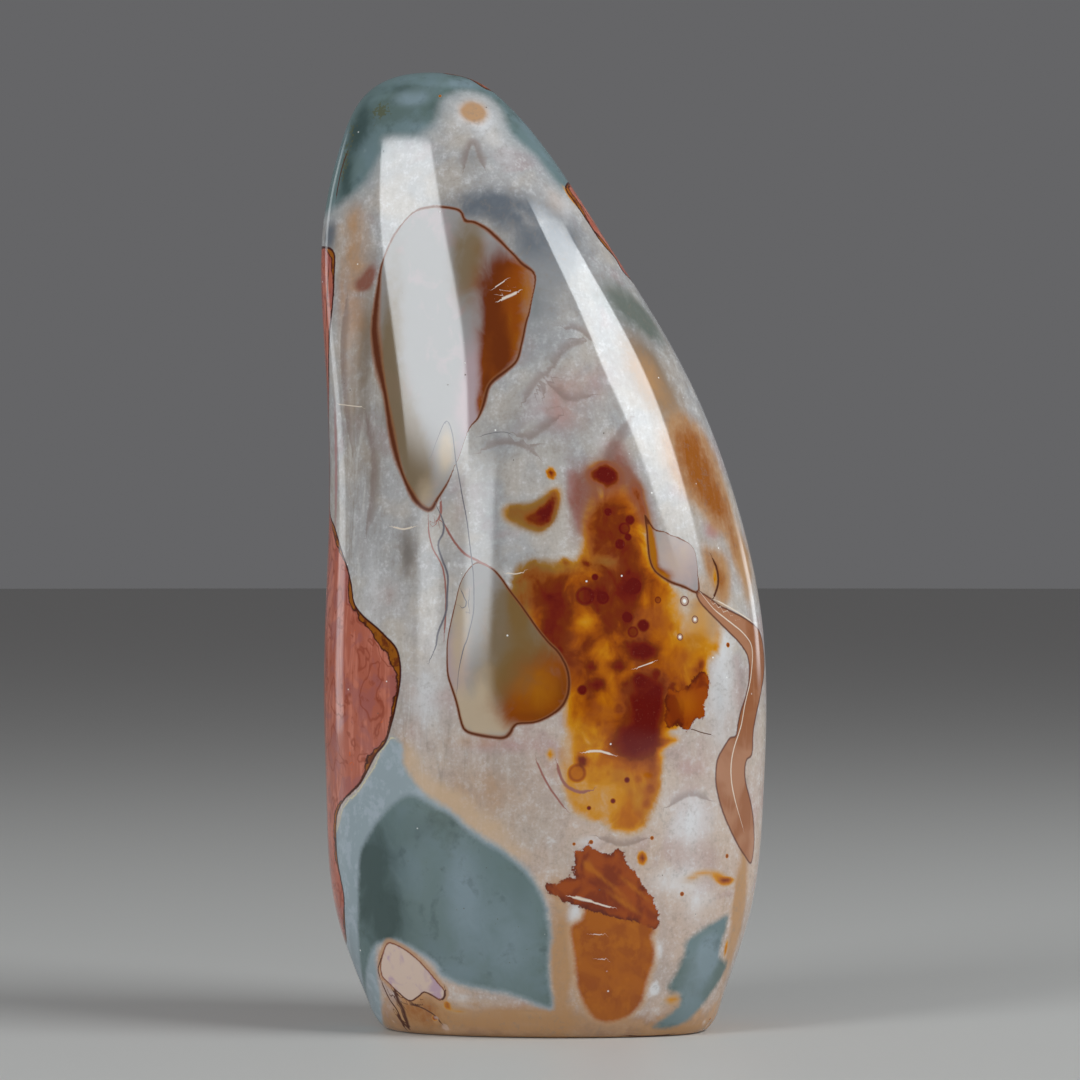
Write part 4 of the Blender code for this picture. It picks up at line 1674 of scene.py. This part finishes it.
def jasperFinish(surface):
    material, bench = newFinish("polishedJasper")
    f = Fields(bench)
    worn = bench.ease(bench.attribute("chip"), *edges["worn"])
    colour = paintGround(bench, f)
    colour = paintTeal(bench, f, colour)
    colour = paintIron(bench, f, surface, colour)
    for paintNext in (paintLens, paintFlakes, paintVein, paintBrick):
        colour = paintNext(bench, f, colour)
    colour = paintSmallThings(bench, f, surface, colour, worn)
    # the white flecks are painted glints, where tiny polish pits catch the light; flecks and dark specks
    # are also made rougher and sunk by the bump below
    cell = bench.cells(f.place, polish["flecksPerMm"])
    fleck = bench.ease(cell, 0.06, 0.025) * bench.ease(f.patch, 0.5, 0.54)
    speck = bench.ease(cell, 0.05, 0.02) * bench.ease(f.patch, 0.47, 0.43)
    colour = bench.layered(colour, [(smallColours["fleck"], fleck), (smallColours["speck"], speck)])
    finish = bench.tree.nodes["Principled BSDF"]
    bench.feed(finish.inputs["Base Color"], colour)
    dull = bench.higher(bench.higher(fleck, speck), worn)
    bench.feed(finish.inputs["Roughness"], polish["roughness"] + dull * polish["dullRoughness"])
    height = bench.noise(f.place, polish["waveSize"], 1.0) * polish["waveHeight"]
    height = height + f.grain * polish["grainHeight"] - dull * polish["dullDepth"]
    bump = bench.node("ShaderNodeBump", {}, {"Strength": 1.0, "Distance": mm, "Height": height})
    bench.feed(finish.inputs["Normal"], bump.outputs[0])
    finish.inputs["IOR"].default_value = polish["ior"]
    finish.inputs["Metallic"].default_value = 0.0
    print("material built,", len(bench.tree.nodes), "nodes")
    return material


def makeStone():
    surface = StoneSurface(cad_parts["stone"])
    print("surface made,", len(surface.points), "points")
    chipRim(surface)
    drawMarkings(surface)
    finish = jasperFinish(surface)
    piece = bpy.data.objects.new("jasperStone", surface.mesh)
    bpy.context.scene.collection.objects.link(piece)
    pressPits(piece, finish)
    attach(piece, "root")
    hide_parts("stone")
    print("stone finished,", len(piece.data.polygons), "faces")


# Floor, light and world

studio = {
    "floorRadius": 6.0,
    "floorPoints": 64,
    "floorColour": paint(206, 204, 200),
    "floorRoughness": 0.5,
    "world": (0.13, 0.13, 0.135, 1.0),
    "aim": (0.0, 0.0, 0.08),
    "lightColour": (0.92, 0.97, 1.0),
}
# azimuth from straight ahead (+ right), elevation, roll and turn in degrees; distance, width and height
# in metres; watts; the shares of the width, foot and head that fade, and how much of the foot is cut
softBoxes = {
    "leftBox": {
        "seen": (-48.8, 25.9, 11.1, 39.9),
        "size": (0.8, 0.388, 0.408),
        "watts": 3.9,
        "fade": (0.04, 0.12, 0.16),
    },
    "leftLow": {
        "seen": (-30, 7.5, 0, 0),
        "size": (0.8, 0.17, 0.24),
        "watts": 0.62,
        "fade": (0.25, 0.3, 0.2),
    },
    "leftFill": {
        "seen": (-48, 5, 0, 0),
        "size": (0.8, 0.16, 0.16),
        "watts": 0.3,
        "fade": (0.3, 0.3, 0.3),
    },
    "rightBox": {
        "seen": (65.6, 29.4, -3.9, -14.2),
        "size": (0.8, 0.45, 0.59),
        "watts": 7.6,
        "fade": (0.07, 0.3, 0.14),
        "cut": 0.45,
    },
    "leftEdge": {
        "seen": (-122, 8, 0, 0),
        "size": (0.7, 0.2, 0.5),
        "watts": 0.5,
        "fade": (0.3, 0.2, 0.2),
    },
    "rightEdge": {
        "seen": (128, 4, 0, 0),
        "size": (0.7, 0.2, 0.2),
        "watts": 0.35,
        "fade": (0.4, 0.3, 0.3),
    },
}


def makeSoftBox(name, box):
    azimuth, elevation, roll, turn = (math.radians(angle) for angle in box["seen"])
    distance, width, height = box["size"]
    sides, foot, head = box["fade"]
    away = Vector((math.sin(azimuth), -math.cos(azimuth), math.tan(elevation))).normalized()
    data = bpy.data.lights.new(name, "AREA")
    data.shape = "RECTANGLE"
    data.size = width
    data.size_y = height
    data.energy = box["watts"]
    data.color = studio["lightColour"]
    data.use_nodes = True
    bench = Bench(data.node_tree)
    place = bench.node("ShaderNodeNewGeometry").outputs["Parametric"]
    parts = bench.node("ShaderNodeSeparateXYZ", {}, {0: place})
    across, up = (Number(bench, parts.outputs[axis]) for axis in ("X", "Y"))
    cut = bench.ease(up, 0.5, 0.0, box.get("cut", 0.0))
    glow = bench.ease(across - cut, 0.0, sides) * bench.ease(across, 1.0, 1 - sides)
    glow = glow * bench.ease(up, 0.0, foot) * bench.ease(up, 1.0, 1 - head)
    bench.feed(bench.tree.nodes["Emission"].inputs["Strength"], glow)
    light = bpy.data.objects.new(name, data)
    light.location = Vector(studio["aim"]) + away * distance
    facing = away.to_track_quat("Z", "Y") @ Quaternion((0.0, 1.0, 0.0), turn)
    light.rotation_euler = (facing @ Quaternion((0.0, 0.0, 1.0), roll)).to_euler()
    bpy.context.scene.collection.objects.link(light)


def makeStudio():
    mesh = bpy.data.meshes.new("floor")
    radius, count = studio["floorRadius"], studio["floorPoints"]
    turns = np.linspace(0, 2 * math.pi, count, endpoint=False)
    ring = [(radius * math.cos(turn), radius * math.sin(turn), 0.0) for turn in turns]
    mesh.from_pydata(ring, [], [list(range(count))])
    floor = bpy.data.objects.new("floor", mesh)
    bpy.context.scene.collection.objects.link(floor)
    material, bench = newFinish("paleFloor")
    surface = bench.tree.nodes["Principled BSDF"]
    surface.inputs["Base Color"].default_value = studio["floorColour"]
    surface.inputs["Roughness"].default_value = studio["floorRoughness"]
    mesh.materials.append(material)
    for name, box in softBoxes.items():
        makeSoftBox(name, box)
    world = bpy.data.worlds.new("studio")
    world.use_nodes = True
    world.node_tree.nodes["Background"].inputs["Color"].default_value = studio["world"]
    bpy.context.scene.world = world
    bpy.context.scene.view_settings.view_transform = "Standard"
    print("studio ready")


makeCamera()
makeStone()
makeStudio()
